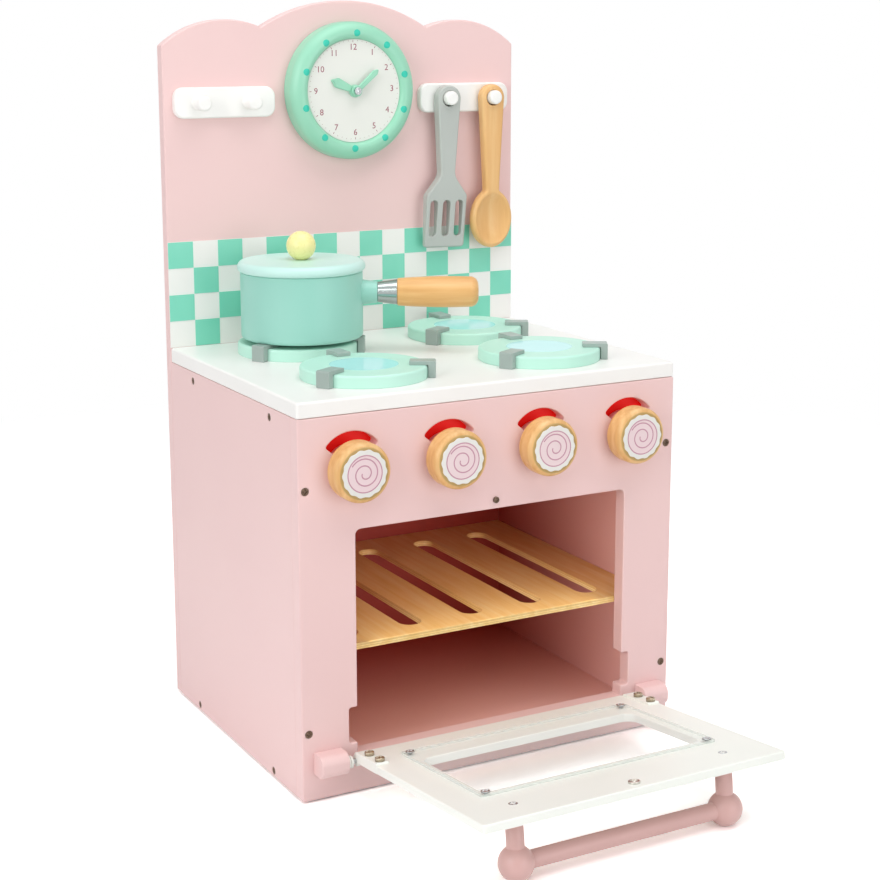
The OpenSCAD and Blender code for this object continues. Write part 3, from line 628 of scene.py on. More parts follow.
@dataclass(frozen=True)
class Beech(Finish):
    """Beech or birch under clear satin varnish.

    Long soft streaks along the fibres, short darker flecks, and a shine that follows the
    grain. Plies, where there are any, show as bands on the cut edges.
    """

    grain: Grain
    light: str
    middle: str
    dark: str
    streak: float = 5.0
    fleck: float = 1.1
    fleck_share: float = 0.22
    heading: float = 0.0
    roughness: float = 0.42
    plies: tuple[float, float, int] | None = None
    toast: str | None = None

    def shading(self, tree: bpy.types.NodeTree, place: bpy.types.NodeSocket) -> dict:
        """Streaks and flecks along the fibres, then plies and browning where they apply."""
        along = add(tree, "ShaderNodeMapping", {
            "Vector": place, "Rotation": (0.0, 0.0, math.radians(self.heading)),
            "Scale": self.grain.value}, vector_type="TEXTURE")
        streak = add(tree, "ShaderNodeTexNoise", {
            "Vector": along.outputs[0], "Scale": per_mm(self.streak), "Detail": 4.0,
            "Roughness": 0.55, "Distortion": 0.25})
        fleck = add(tree, "ShaderNodeTexNoise", {
            "Vector": along.outputs[0], "Scale": per_mm(self.fleck), "Detail": 1.0})
        colour = add(tree, "ShaderNodeValToRGB", {0: streak.outputs["Fac"]}, [
            (0.30, linear(self.light)), (0.52, linear(self.middle)),
            (0.78, linear(self.dark))]).outputs["Color"]
        spots = add(tree, "ShaderNodeMapRange", {0: fleck.outputs["Fac"], 1: 0.60, 2: 0.74,
                                                 3: 0.0, 4: self.fleck_share})
        colour = add(tree, "ShaderNodeMix", {0: spots.outputs[0], 6: colour,
                                             7: linear(self.dark)}, data_type="RGBA").outputs[2]
        if self.plies:
            colour = self.banded(tree, place, colour)
        if self.toast:
            share = add(tree, "ShaderNodeAttribute", attribute_name="toast").outputs["Fac"]
            colour = add(tree, "ShaderNodeMix", {0: share, 6: colour, 7: linear(self.toast)},
                         data_type="RGBA").outputs[2]
        gloss = add(tree, "ShaderNodeMapRange", {
            0: streak.outputs["Fac"], 1: NOISE_LOW, 2: NOISE_HIGH,
            3: self.roughness - 0.06, 4: self.roughness + 0.08})
        bump = add(tree, "ShaderNodeBump", {"Height": fleck.outputs["Fac"], "Strength": 0.25,
                                            "Distance": 0.03 * METRES_PER_MM})
        return {
            "Base Color": colour, "Roughness": gloss.outputs[0], "Normal": bump.outputs[0],
            "IOR": 1.5, "Coat Weight": 0.15, "Coat Roughness": 0.25}

    def banded(self, tree: bpy.types.NodeTree, place: bpy.types.NodeSocket,
               colour: bpy.types.NodeSocket) -> bpy.types.NodeSocket:
        """Darkens every second ply, with a thin glue line between plies."""
        low, high, count = self.plies
        height = add(tree, "ShaderNodeSeparateXYZ", {0: place}).outputs["Z"]
        level = add(tree, "ShaderNodeMapRange", {0: height, 1: low * METRES_PER_MM,
                                                 2: high * METRES_PER_MM, 3: 0.0, 4: 1.0})
        glue, glue_tone, ply_tone, stops = 0.035, 0.55, 0.22, [(0.0, 0.0)]
        for ply in range(1, count):
            stops += [(ply / count - glue, glue_tone),
                      (ply / count + glue, ply_tone * ((ply + 1) % 2))]
        bands = add(tree, "ShaderNodeValToRGB", {0: level.outputs[0]},
                    [(spot, (value, value, value, 1.0)) for spot, value in stops])
        bands.color_ramp.interpolation = "CONSTANT"
        return add(tree, "ShaderNodeMix", {0: bands.outputs["Color"], 6: colour,
                                           7: linear("#B8863F")}, data_type="RGBA").outputs[2]


@dataclass(frozen=True)
class Metal(Finish):
    """Plated steel or polished tube: fine drawn lines vary its shine."""

    tint: str
    roughness: float
    line: float = 0.5

    def shading(self, tree: bpy.types.NodeTree, place: bpy.types.NodeSocket) -> dict:
        """One tint, with its gloss broken by drawn lines."""
        lines = add(tree, "ShaderNodeTexNoise", {"Vector": place, "Scale": per_mm(self.line),
                                                 "Detail": 3.0})
        gloss = add(tree, "ShaderNodeMapRange", {
            0: lines.outputs["Fac"], 1: NOISE_LOW, 2: NOISE_HIGH,
            3: self.roughness * 0.7, 4: self.roughness * 1.4})
        return {
            "Base Color": linear(self.tint), "Metallic": 1.0, "Roughness": gloss.outputs[0]}


@dataclass(frozen=True)
class Acrylic(Finish):
    """Cast acrylic sheet: a clear face with the odd fine rub mark, or a sawn edge.

    The sheet is thin and flat, so light goes straight through it: the share of light
    that it stops is its opacity.
    """

    tint: str
    opacity: float
    roughness: float

    def shading(self, tree: bpy.types.NodeTree, place: bpy.types.NodeSocket) -> dict:
        """A clear tint with rub marks in its gloss."""
        rubs = add(tree, "ShaderNodeTexNoise", {"Vector": place, "Scale": per_mm(9.0),
                                                "Detail": 4.0})
        gloss = add(tree, "ShaderNodeMapRange", {0: rubs.outputs["Fac"], 1: 0.5, 2: 0.8,
                                                 3: self.roughness, 4: self.roughness + 0.05})
        return {
            "Base Color": linear(self.tint), "Roughness": gloss.outputs[0], "IOR": 1.49,
            "Alpha": self.opacity}


# sprayed lacquer over primed board: an even satin skin in which the wood doesn't show
# PINK's inside pair is painted shade in the oven: light pink at the mouth, dark red-brown at the
# back
PINK = SatinPaint("sprayed_pink_lacquer", "#EFCDCB", "#EDCAC9", drift=140.0,
                  inside=("#F8D0CC", "#AE483E"))
WHITE = SatinPaint("sprayed_white_lacquer", "#F8F7F4", "#F5F3F0", roughness=0.36)
DOOR_WHITE = SatinPaint("sprayed_door_lacquer", "#F9FBF5", "#F5F8F1", roughness=0.36)
GREY = SatinPaint("sprayed_grey_lacquer", "#A3B2AC", "#9BAAA4", roughness=0.36)
# screen-printed colour: flat, a little duller than the lacquer under it
TILE_WHITE = SatinPaint("printed_white_squares", "#F7F5F2", "#F3F1ED", roughness=0.38)
TILE_TEAL = SatinPaint("printed_teal_squares", "#86DDC4", "#7CD7BD", roughness=0.38, drift=40.0)
DOT_TEAL = SatinPaint("printed_teal_dots", "#2CC9B0", "#25C2A8", roughness=0.35)
# dipped lacquer on turned or shaped wood: rounder, wetter highlights than on the boards
MINT = SatinPaint("dipped_mint_lacquer", "#9AD8BC", "#92D2B4", roughness=0.32)
BURNER_MINT = SatinPaint("dipped_pale_mint_lacquer", "#C3EFDF", "#BDEDDB", roughness=0.38)
TURNER_GREY = SatinPaint("dipped_grey_lacquer", "#B9BEB9", "#B2B7B2", roughness=0.36)
HANDLE_PINK = SatinPaint("dipped_rose_lacquer", "#DBB1AC", "#D6ABA6", roughness=0.32)
PAN_MINT = SatinPaint("dipped_green_lacquer", "#9DD5C7", "#96D0C1", roughness=0.34)
LID_MINT = SatinPaint("dipped_lid_lacquer", "#CBEEE7", "#C5EBE2", roughness=0.36)
YELLOW = SatinPaint("dipped_yellow_lacquer", "#F8EFA9", "#F5EA9E", roughness=0.28)
# glossy film let into the burners: smooth, so it mirrors what stands on it
BURNER_BLUE = SatinPaint("glossy_blue_film", "#B2F1F1", "#BAF4F4", roughness=0.12, peel=6.0)
# red lacquer with a painted glow, which brightens it in the shade of the knob windows
RED = SatinPaint("red_lacquer_painted_glow", "#FF0A00", "#F80800", roughness=0.5, glow=0.12)
# printed film stickers on the knobs and the dial: flat, thin, hardly any relief
DIAL = SatinPaint("printed_dial_film", "#EBEBE5", "#E7E7E1", roughness=0.42)
ICING = SatinPaint("printed_white_film", "#EAE8E3", "#E5E3DE", roughness=0.4)
CREAM = SatinPaint("printed_pink_film", "#ECD6D8", "#E9D0D4", roughness=0.4)
SWIRL = SatinPaint("printed_rose_line", "#C793A3", "#C28C9D", roughness=0.4)
INK = SatinPaint("printed_rose_ink", "#9C4A5E", "#934257", roughness=0.5)
# birch plywood, sanded and varnished: pale, with fine straight grain and banded edges
SHELF_PLY = Beech("varnished_birch_plywood", Grain.ALONG_Y, light="#FADF9E", middle="#F4D188",
                  dark="#E9C072", streak=6.0, plies=(110.0, 115.0, 3))
# turned beech, sanded and varnished: close grain with small flecks
KNOB_WOOD = Beech("varnished_turned_beech", Grain.ALONG_Z, light="#EABF83", middle="#E0AF6F",
                  dark="#D09A58", toast="#B08F4E")
GRIP_WOOD = Beech("varnished_grip_beech", Grain.ALONG_X, light="#EABA7B", middle="#E3AE6B",
                  dark="#D69D5A", heading=-28.0)
SPOON_WOOD = Beech("varnished_spoon_beech", Grain.ALONG_Z, light="#EBBF82", middle="#E6B474",
                   dark="#DEA968", streak=7.0)
# chromium plate, polished: a dark and a bright line along the tube
CHROME = Metal("polished_chromium_plate", "#A9B2B0", 0.14, line=2.0)
# bright zinc plate as it leaves the bath: grey, half dull
ZINC = Metal("bright_zinc_plate", "#BDBFC1", 0.28)
# yellow-passivated zinc: a tan rim round the dark cross
TAN_ZINC = Metal("yellow_passivated_zinc", "#6E5D50", 0.4)
# dull brassy zinc on the hinge's dome heads
BRASSED = Metal("brassy_zinc_plate", "#AEA28D", 0.26)
# nickel plate on a pressed cup
NICKEL = Metal("nickel_plate", "#C9C6BF", 0.22)
# cast acrylic: its polished face lets nearly all light by, its sawn edge scatters it
CLEAR = Acrylic("cast_acrylic_face", "#F6FBFA", 0.10, 0.03)
SAWN = Acrylic("cast_acrylic_sawn_edge", "#E6EEE8", 0.55, 0.35)

_MATERIALS: dict[str, bpy.types.Material] = {}


def material_of(finish: Finish) -> bpy.types.Material:
    """The material of a finish, made once."""
    if finish.name not in _MATERIALS:
        _MATERIALS[finish.name] = finish.build()
    return _MATERIALS[finish.name]


def linked(name: str, data: bpy.types.ID) -> bpy.types.Object:
    """A new object in the scene, with its data."""
    item = bpy.data.objects.new(name, data)
    bpy.context.scene.collection.objects.link(item)
    return item


def put(name: str, shell: Shell, finish: Finish, body: str,
        replaces: Sequence[str] = (), place: Placement = Placement(),
        toast: Array | None = None, edge: Finish | None = None) -> bpy.types.Object:
    """Makes a piece from a shell, dresses it and hangs it on its body.

    Args:
        name: the piece's name.
        shell: its surface, in millimetres.
        finish: what it is made of.
        body: the CAD body that it moves with.
        replaces: CAD nodes that it stands for.
        place: where the shell's own axes lie.
        toast: a share from 0 to 1 for each point, for the knobs' browned rim.
        edge: another finish for a board's cut edges, which are its quads.

    Returns:
        The piece.
    """
    shell = shell.placed(place).outward()
    mesh = bpy.data.meshes.new(name)
    faces = shell.quads.tolist() + shell.triangles.tolist()
    mesh.from_pydata((shell.points * METRES_PER_MM).tolist(), [], faces)
    mesh.polygons.foreach_set("use_smooth", np.ones(len(faces), bool))
    if toast is not None:
        layer = mesh.attributes.new("toast", "FLOAT", "POINT")
        layer.data.foreach_set("value", toast.astype(np.float32))
    mesh.normals_split_custom_set_from_vertices(unit(shell.normals).tolist())
    mesh.materials.append(material_of(finish))
    if edge:
        mesh.materials.append(material_of(edge))
        mesh.polygons.foreach_set("material_index",
                                  (np.arange(len(faces)) < len(shell.quads)).astype(np.int32))
    piece = linked(name, mesh)
    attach(piece, body)
    if replaces:
        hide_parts(*replaces)
    loose = shell.open_edges()
    LOG.info("%s: %d faces on %s%s", name, len(faces), body,
             f", {loose} OPEN EDGES" if loose else "")
    return piece


def dress_node(node: str, finish: Finish) -> None:
    """Gives a CAD node that stays its better material."""
    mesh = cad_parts[node].data
    mesh.materials.clear()
    mesh.materials.append(material_of(finish))
    LOG.info("%s: CAD node in %s", node, finish.name)


# ---------------------------------------------------------------- fasteners


@dataclass(frozen=True)
class CrossScrew:
    """A cross-head screw: low domed head with a cross recess, over its plain shank."""

    head_r: float
    head_h: float
    shank_r: float
    length: float
    dome: float
    arm_w: float = 0.19
    arm_l: float = 0.68
    soft: float = 0.10

    def shell(self) -> Shell:
        """The screw with the rim of its head's top at the origin's height.

        The top is h(r) = dome (1 - (r/R)^2) less a cross-shaped dip: the dip's depth is
        full where the nearer axis is within the arm's half width and the farther within
        its length, both shares of R, and falls off softly at the arm's edges.
        """
        columns = 40
        angle = full_turn(columns)
        top_r = np.linspace(0.08, 0.93, 15) * self.head_r
        x, y = top_r[:, None] * np.cos(angle), top_r[:, None] * np.sin(angle)
        near, far = np.minimum(np.abs(x), np.abs(y)), np.maximum(np.abs(x), np.abs(y))
        soft = self.soft * self.head_r
        dip = (np.clip((self.arm_w * self.head_r - near) / soft + 0.5, 0, 1)
               * np.clip((self.arm_l * self.head_r - far) / soft + 0.5, 0, 1))
        depth = min(1.1, 0.6 * self.head_h)
        top = self.dome * (1 - (top_r[:, None] / self.head_r) ** 2) - depth * dip
        rest_r = np.array([self.head_r * 0.985, self.head_r, self.head_r,
                           self.shank_r, self.shank_r])
        rest_z = np.array([-0.06, -0.18, -self.head_h, -self.head_h, -self.length])
        radius = np.concatenate([top_r, rest_r])
        height = np.concatenate([top, np.broadcast_to(rest_z[:, None], (5, columns))])
        grid = np.stack([radius[:, None] * np.cos(angle), radius[:, None] * np.sin(angle),
                         height], axis=-1)
        middle = self.dome - depth
        return capped_grid(grid[::-1], (0, 0, -self.length), (0, 0, middle))


# ---------------------------------------------------------------- cabinet


@dataclass
class Cabinet:
    """The boards, the shelf and the screws that hold them."""

    width: float = 335.0
    inner_front: float = -123.0
    back: float = 135.0
    board: float = 12.0
    under: float = 298.0
    sill: float = 32.3
    foot: float = 1.2
    joint: float = 0.4
    head: float = 209.0
    opening: float = 121.0
    notch: float = 128.0
    notch_low: float = 41.0
    notch_high: float = 69.5
    edge: float = 1.1
    shelf_top: float = 115.0
    shelf_t: float = 5.0
    spindle_r: float = 5.05
    sunk_r: float = 3.1
    sink: float = 0.45
    screw_x: float = 161.5
    front_screws: Pair = (243.0, 54.7)
    back_screws: Triple = (30.0, 149.0, 268.0)
    side_screws: tuple[Pair, ...] = ((74.0, 290.0), (-84.0, 290.0), (79.0, 6.0), (-79.0, 6.0))
    strike_z: float = 216.2
    strike_out: float = 1.5
    bar_front: float = -105.0
    bar_back: float = 106.0
    slot_step: float = 55.5
    slot_w: float = 19.0
    slot_front: float = 18.0
    slot_back: float = 27.0
    slack: float = 0.5

    @property
    def half(self) -> float:
        """Half the cabinet's width."""
        return self.width / 2

    @property
    def inner(self) -> float:
        """From the middle to a side board's inner face."""
        return self.half - self.board

    def build(self) -> None:
        """Makes every board, then the shelf and the screws."""
        self.side_boards()
        self.front_board()
        self.back_board()
        self.inner_boards()
        self.hob_board()
        self.shelf()
        self.screws()

    def both(self, heights: Sequence[float]) -> list[Pair]:
        """Screw places near both sides, in X and Z, at each height."""
        return [(side * self.screw_x, z) for side in SIDES for z in heights]

    def screw_holes(self, spots: Sequence[Pair]) -> list[Outline]:
        """The sunk holes for the screws at these places."""
        return [circle(self.sunk_r, 28).moved(*spot) for spot in spots]

    def side_boards(self) -> None:
        """The two sides, with sunk screw holes near the top and the foot."""
        outline = rectangle(self.inner_front, self.foot, WALL_Y, self.under - self.joint, 0.7)
        board = slab(outline, self.screw_holes(self.side_screws), self.board, 0.6, 0.6, 3)
        for name, x in (("left", -self.half), ("right", self.inner)):
            put(f"side_board_{name}", board, PINK, "cabinet",
                [f"side_panel_{name}"], profile_along_x(x, 0, 0))

    def arch_window(self) -> Outline:
        """The arched window over a knob: two arcs about the knob, with rounded corners."""
        outer, inner, span, corner = 28.0, 16.0, 51.5, 2.0
        far, near = outer - corner, inner + corner
        bend, turn = (math.degrees(math.asin(corner / d)) for d in (far, near))
        left = 90 + span
        upper, lower = (d * np.array(direction(a))
                        for d, a in ((far, left - bend), (near, left - turn)))
        half = np.vstack([
            arc((0, 0), outer, 90, left - bend, 16),
            arc(tuple(upper), corner, left - bend, left + 90, 6)[1:],
            arc(tuple(lower), corner, left + 90, left + 180 - turn, 6),
            arc((0, 0), inner, left - turn, 90, 12)[1:]])
        return rounded(with_twin(half, closes=True), 0.0)

    def front_board(self) -> None:
        """The front, cut out for the oven, the screws and the knobs."""
        inner, notched = self.opening, self.notch
        right = [(inner, self.sill), (inner, self.notch_low), (notched, self.notch_low),
                 (notched, self.notch_high), (inner, self.notch_high), (inner, self.head)]
        radii = [1.2, 1.2, 2, 2, 1.2, 4.5]
        holes = [rounded(right + [(-x, z) for x, z in right[::-1]], radii + radii[::-1])]
        for x in KNOB_X:
            holes += [self.arch_window().moved(x, KNOB_Z),
                      circle(self.spindle_r, 32).moved(x, KNOB_Z)]
        holes += self.screw_holes(self.both(self.front_screws))
        outline = rectangle(-self.half, self.foot, self.half, self.under - self.joint, 1.3)
        board = slab(outline, holes, self.board, 0.4, self.edge)
        put("front_board", board, PINK, "cabinet", ["front_panel"],
            facing_front(0, self.inner_front, 0))

    def back_board(self) -> None:
        """The tall back: a middle arch between two lobes, over straight sides."""
        arch_r, lobe_r, lobe_x, top, drop = 150.0, 85.0, 111.0, 599.0, 16.0
        arch_z, lobe_z = top - arch_r, top - drop - lobe_r
        gap = math.hypot(lobe_x, lobe_z - arch_z)
        along = (arch_r ** 2 - lobe_r ** 2 + gap ** 2) / (2 * gap)
        rise = math.sqrt(arch_r ** 2 - along ** 2)
        ux, uz = lobe_x / gap, (lobe_z - arch_z) / gap
        valley = np.array([along * ux - rise * uz, arch_z + along * uz + rise * ux])
        side = math.degrees(math.acos((self.half - lobe_x) / lobe_r))
        dip = math.degrees(math.atan2(valley[1] - lobe_z, valley[0] - lobe_x))
        crest = math.degrees(math.atan2(valley[1] - arch_z, valley[0]))
        lobe = arc((lobe_x, lobe_z), lobe_r, side, dip, 26)
        crown = arc((0, arch_z), arch_r, crest, 180 - crest, 60)[1:-1]
        left = lobe[::-1] * MIRROR
        corners = np.vstack([[(-self.half, self.foot), (self.half, self.foot)], lobe, crown, left])
        radii = {0: 1.5, 1: 1.5, 2: 1.5, -1: 1.5,
                 1 + len(lobe): 1.0, len(corners) - len(lobe): 1.0}
        holes = self.screw_holes(self.both(self.back_screws))
        board = slab(rounded(corners, radii), holes, self.back - WALL_Y, 1.2, 1.4)
        put("back_board", board, PINK, "cabinet", ["back_panel"],
            facing_front(0, self.back, 0))

    def inner_boards(self) -> None:
        """Floor, oven ceiling, battens and cleats."""
        flat = rectangle(-self.inner, self.inner_front, self.inner, WALL_Y, 0.5)
        for name, node, z in (("oven_floor_board", "floor_panel", 0.0),
                              ("oven_ceiling_board", "oven_ceiling", 210.0)):
            put(name, slab(flat, [], self.board, 0.4, 0.4, 2), PINK, "cabinet",
                [node], lying(0, 0, z))
        for node, size, top in (("top_battens", 16.0, self.under),
                                ("shelf_cleats", 10.0, self.shelf_top - self.shelf_t)):
            bars = [slab(rectangle(x, self.bar_front, x + size, self.bar_back, 0.8), [], size,
                         0.6, 0.6, 3)
                    for x in (-self.inner, self.inner - size)]
            put(f"{node}_bars", joined(bars), PINK, "cabinet", [node],
                lying(0, 0, top - size))

    def hob_board(self) -> None:
        """The white hob board, with a softly rounded upper edge."""
        outline = rectangle(-self.half, FRONT_Y, self.half, WALL_Y, 2.2)
        put("hob_board", slab(outline, [], self.board, 0.6, 2.0), WHITE, "cabinet",
            ["hob_top"], lying(0, 0, self.under))

    def shelf(self) -> None:
        """The slotted plywood shelf."""
        front, back = self.inner_front + self.slack, WALL_Y - self.slack
        x = self.inner - self.slack
        slots = [slot_outline(step * self.slot_step, front + self.slot_front,
                              back - self.slot_back, self.slot_w) for step in range(-2, 3)]
        board = slab(rectangle(-x, front, x, back, 0.6), slots, self.shelf_t, 0.5, 0.5, 3)
        put("slotted_shelf", board, SHELF_PLY, "cabinet", ["oven_shelf"],
            lying(0, 0, self.shelf_top - self.shelf_t))

    def screws(self) -> None:
        """Sunk screws all round, and the proud one that the door's magnet meets."""
        sunk = CrossScrew(3.02, 1.8, 1.5, 20.0, dome=0.1).shell()
        placed = []
        for side in SIDES:
            x = side * self.screw_x
            placed += [sunk.placed(facing_front(x, FRONT_Y + self.sink, z))
                       for z in self.front_screws]
            placed += [sunk.placed(Placement((side * (self.half - self.sink), y, z),
                                             (0, side, 0), (0, 0, 1), (side, 0, 0)))
                       for y, z in self.side_screws]
            placed += [sunk.placed(Placement((x, self.back - self.sink, z), (-1, 0, 0),
                                             (0, 0, 1), (0, 1, 0))) for z in self.back_screws]
        strike = CrossScrew(2.55, 1.5, 1.4, 12.0, dome=0.4).shell()
        placed.append(strike.placed(facing_front(0, FRONT_Y - self.strike_out, self.strike_z)))
        put("board_screws", joined(placed), TAN_ZINC, "cabinet", ["cabinet_screws"])


# ---------------------------------------------------------------- back wall


@dataclass
class BackWall:
    """The checked band, the two peg rails and their pegs."""

    rail_x: float = 114.6
    rail_w: float = 90.0
    rail_h: float = 25.6
    peg_shift: float = 1.6
    rail_t: float = 6.5
    peg_step: float = 22.5

    def build(self) -> None:
        """Dresses the tiles and makes the rails and pegs."""
        dress_node("splashback_sheet", TILE_WHITE)
        dress_node("splashback_tiles", TILE_TEAL)
        half_w, half_h = self.rail_w / 2, self.rail_h / 2
        bar = slab(rectangle(-half_w, -half_h, half_w, half_h, 8.5, 12), [], self.rail_t, 0.4, 1.8)
        rails = [bar.placed(facing_front(s * self.rail_x, WALL_Y, RAIL_Z)) for s in SIDES]
        put("white_rails", joined(rails), WHITE, "cabinet", ["peg_rails"])
        peg = cylinder(6.2, -2, 16.0, (0.3, 2.0), 48, 8)
        pegs = [peg.placed(facing_front(s * (self.rail_x + self.peg_shift) + t * self.peg_step,
                                        WALL_Y - self.rail_t, RAIL_Z))
                for s in SIDES for t in SIDES]
        put("round_pegs", joined(pegs), WHITE, "cabinet", ["rail_pegs"])


# ---------------------------------------------------------------- clock


@dataclass
class Clock:
    """A turned ring around a recessed dial, with two hands on one screw."""

    centre_z: float = 522.6
    dial_r: float = 44.0
    crest_r: float = 49.1
    outer_r: float = 58.8
    depth: float = 20.0
    dial_depth: float = 16.0
    crown: float = 9.7
    lip: float = 5.1
    dot_turn: float = 1.7
    print_rise: float = 0.8
    print_turn: float = -1.1
    tick_r: float = 42.3
    numeral_r: float = 36.3
    numeral_size: float = 7.4
    numeral_t: float = 0.04
    hand_t: float = 2.8
    screw_depth: float = 24.5
    screw_turn: float = 20.0

    def place(self, depth: float, turn: float = 0.0) -> Placement:
        """The dial's own frame at a depth out of the wall."""
        return facing_front(0, WALL_Y - depth, self.centre_z, turn)

    def build(self) -> None:
        """Makes the ring, dial, print, dots and hands."""
        ring = turned_ring(self.dial_r, (self.outer_r, self.outer_r), self.depth,
                           [0.3, 0.6, self.crown - 0.01, self.lip - 0.01], 144, 18)
        put("clock_rim", ring, MINT, "cabinet", ["clock_ring"], self.place(0))
        face = cylinder(self.dial_r - 0.05, 0, self.dial_depth, (0.2, 0.3), 120, 3)
        put("clock_dial", face, DIAL, "cabinet", ["clock_face"], self.place(0))
        put("clock_rim_dots", self.dots(), DOT_TEAL, "cabinet", ["clock_dots"],
            self.place(0))
        put("dial_ticks", self.ticks(), INK, "cabinet",
            place=self.place(self.dial_depth, self.print_turn))
        self.numerals()
        self.hands()

    def dots(self) -> Shell:
        """Ten paint dots that lie on the ring's round crest.

        A dot is a small polar grid about its centre; each of its points is lifted to the
        ring's height at that distance from the clock's centre, and the coat adds a dome.
        """
        radius, coat, columns = 3.0, 0.12, 28
        share = np.linspace(0.12, 1, 9)[:, None]
        angle = full_turn(columns)[None]
        shells = []
        for spot in np.arange(10) * 2 * math.pi / 10 + math.radians(self.dot_turn):
            cx, cz = self.crest_r * math.sin(spot), self.crest_r * math.cos(spot)
            x = cx + radius * share * np.cos(angle)
            z = cz + radius * share * np.sin(angle)
            top = self.height(np.hypot(x, z)) + coat * np.sqrt(np.clip(1.02 - share ** 2, 0, 1))
            under = self.height(np.hypot(x[-1:], z[-1:])) - 0.3
            grid = np.concatenate([np.stack([x, z, top], axis=-1),
                                   np.stack([x[-1:], z[-1:], under], axis=-1)])
            peak = float(self.height(np.array(self.crest_r))) + coat
            shells.append(capped_grid(grid[::-1], (cx, cz, peak - coat - 0.3), (cx, cz, peak)))
        return joined(shells)

    def height(self, radius: Array) -> Array:
        """How far the ring stands out at a distance from the clock's centre."""
        outside = self.depth - self.crown + np.sqrt(np.clip(
            self.crown ** 2 - (radius - self.crest_r) ** 2, 0, None))
        inside = self.depth - self.lip + np.sqrt(np.clip(
            self.lip ** 2 - (self.crest_r - radius) ** 2, 0, None))
        return np.where(radius > self.crest_r, outside, inside)

    def ticks(self) -> Shell:
        """Sixty minute strokes, longer at the hours."""
        strokes = []
        for minute in range(60):
            hour = minute % 5 == 0
            length, width = (1.9, 0.42) if hour else (0.8, 0.26)
            outline = rectangle(-width / 2, self.tick_r - length, width / 2, self.tick_r, 0.05, 1)
            stroke = slab(outline, [], 0.06, 0.01, 0.01, 1)
            c, s = direction(minute * 6)
            strokes.append(stroke.placed(Placement((0, self.print_rise, 0), (c, -s, 0), (s, c, 0),
                                                   (0, 0, 1))))
        return joined(strokes)

    def numerals(self) -> None:
        """The twelve plain numerals of the dial, as thin print."""
        for hour in range(1, 13):
            curve = bpy.data.curves.new(f"numeral_{hour}", "FONT")
            curve.body, curve.size = str(hour), self.numeral_size
            curve.align_x, curve.align_y = "CENTER", "CENTER"
            curve.extrude, curve.resolution_u = self.numeral_t, 3
            text = linked(f"numeral_{hour}_text", curve)
            bpy.context.view_layer.update()
            mesh = bpy.data.meshes.new_from_object(text)
            bpy.data.objects.remove(text)
            angle = math.radians(hour * 30 + self.print_turn)
            middle = (self.numeral_r * np.array([math.sin(angle), math.cos(angle)])
                      + (0, self.print_rise))
            flat = np.zeros(len(mesh.vertices) * 3, np.float32)
            mesh.vertices.foreach_get("co", flat)
            point = flat.reshape(-1, 3).astype(float)
            point[:, :2] += middle
            place = self.place(self.dial_depth + self.numeral_t)
            point = (point @ place.axes() + np.array(place.origin)) * METRES_PER_MM
            mesh.vertices.foreach_set("co", point.astype(np.float32).ravel())
            mesh.materials.clear()
            mesh.materials.append(material_of(INK))
            mesh.update()
            piece = linked(f"numeral_{hour}", mesh)
            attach(piece, "cabinet")
        LOG.info("numerals 1 to 12")

    def hands(self) -> None:
        """Hour and minute hand with softly rounded edges, and the screw that holds them."""
        for name, turn, depth, length, width, root, hub in (
                ("hour", -67.0, 16.5, 24.0, 8.6, 5.2, 5.4),
                ("minute", 49.0, 19.8, 27.0, 5.0, 4.2, 4.8)):
            neck = math.degrees(math.asin(root / 2 / hub))
            corners = np.vstack([
                arc((0, 0), hub, 90 + neck, 450 - neck, 30),
                [(width / 2, length - width * 0.62), (0.5, length), (-0.5, length),
                 (-width / 2, length - width * 0.62)]])
            outline = rounded(corners, {-4: 1.2, -3: 0.5, -2: 0.5, -1: 1.2})
            hand = slab(outline, [circle(2.05, 28)], self.hand_t, 0.3, 0.9, 4)
            put(f"{name}_pointer", hand, MINT, f"{name}_hand_body",
                [f"{name}_hand"], self.place(depth, turn))
        screw = CrossScrew(3.2, 1.6, 1.95, 18.0, dome=0.6).shell()
        put("clock_pivot_screw", screw, ZINC, "cabinet", ["clock_screw"],
            self.place(self.screw_depth, self.screw_turn))


# ---------------------------------------------------------------- hob


class Corner(Enum):
    """The four burners by name, with their middles in X and Y."""

    FRONT_LEFT = (-80.0, -68.0)
    FRONT_RIGHT = (80.0, -68.0)
    BACK_LEFT = (-80.0, 56.0)
    BACK_RIGHT = (80.0, 56.0)


@dataclass
class Hob:
    """Four turned burners, each with a blue centre and three grey pan supports."""

    radius: float = 50.0
    height: float = 10.0
    blue_r: float = 27.0
    reach: float = 14.5
    leg: float = 5.8
    lift: float = 3.3
    support_w: float = 12.0

    def build(self) -> None:
        """Makes the burners and their supports."""
        disc = cylinder(self.radius, 0, self.height, (0.5, 2.0), 128, 7)
        film = cylinder(self.blue_r, -0.1, 0.1, (0.02, 0.08), 96, 3)
        tip, inner = self.radius - self.reach, self.radius + 0.2
        outer, low, high = inner + self.leg, self.height + 0.02, self.height + self.lift
        bracket = rounded([(tip, low), (inner, low), (inner, 0), (outer, 0), (outer, high),
                           (tip, high)], [0.5, 0.3, 0.4, 0.4, 1.2, 0.8], 4)
        support = slab(bracket, [], self.support_w, 0.5, 0.5, 3)
        for spot in Corner:
            name, (x, y) = spot.name.lower(), spot.value
            put(f"burner_disc_{name}", disc, BURNER_MINT, "cabinet",
                [f"burner_{name}"], lying(x, y, HOB_Z))
            put(f"burner_centre_{name}", film, BURNER_BLUE, "cabinet",
                place=lying(x, y, HOB_Z + self.height))
            feet = []
            for degrees in (90, 210, 330):
                c, s = direction(degrees)
                half = self.support_w / 2
                feet.append(support.placed(Placement((x - half * s, y + half * c, HOB_Z),
                                                     (c, s, 0), (0, 0, 1), (s, -c, 0))))
            put(f"support_set_{name}", joined(feet), GREY, "cabinet",
                [f"pan_support_{name}"])


# ---------------------------------------------------------------- knobs


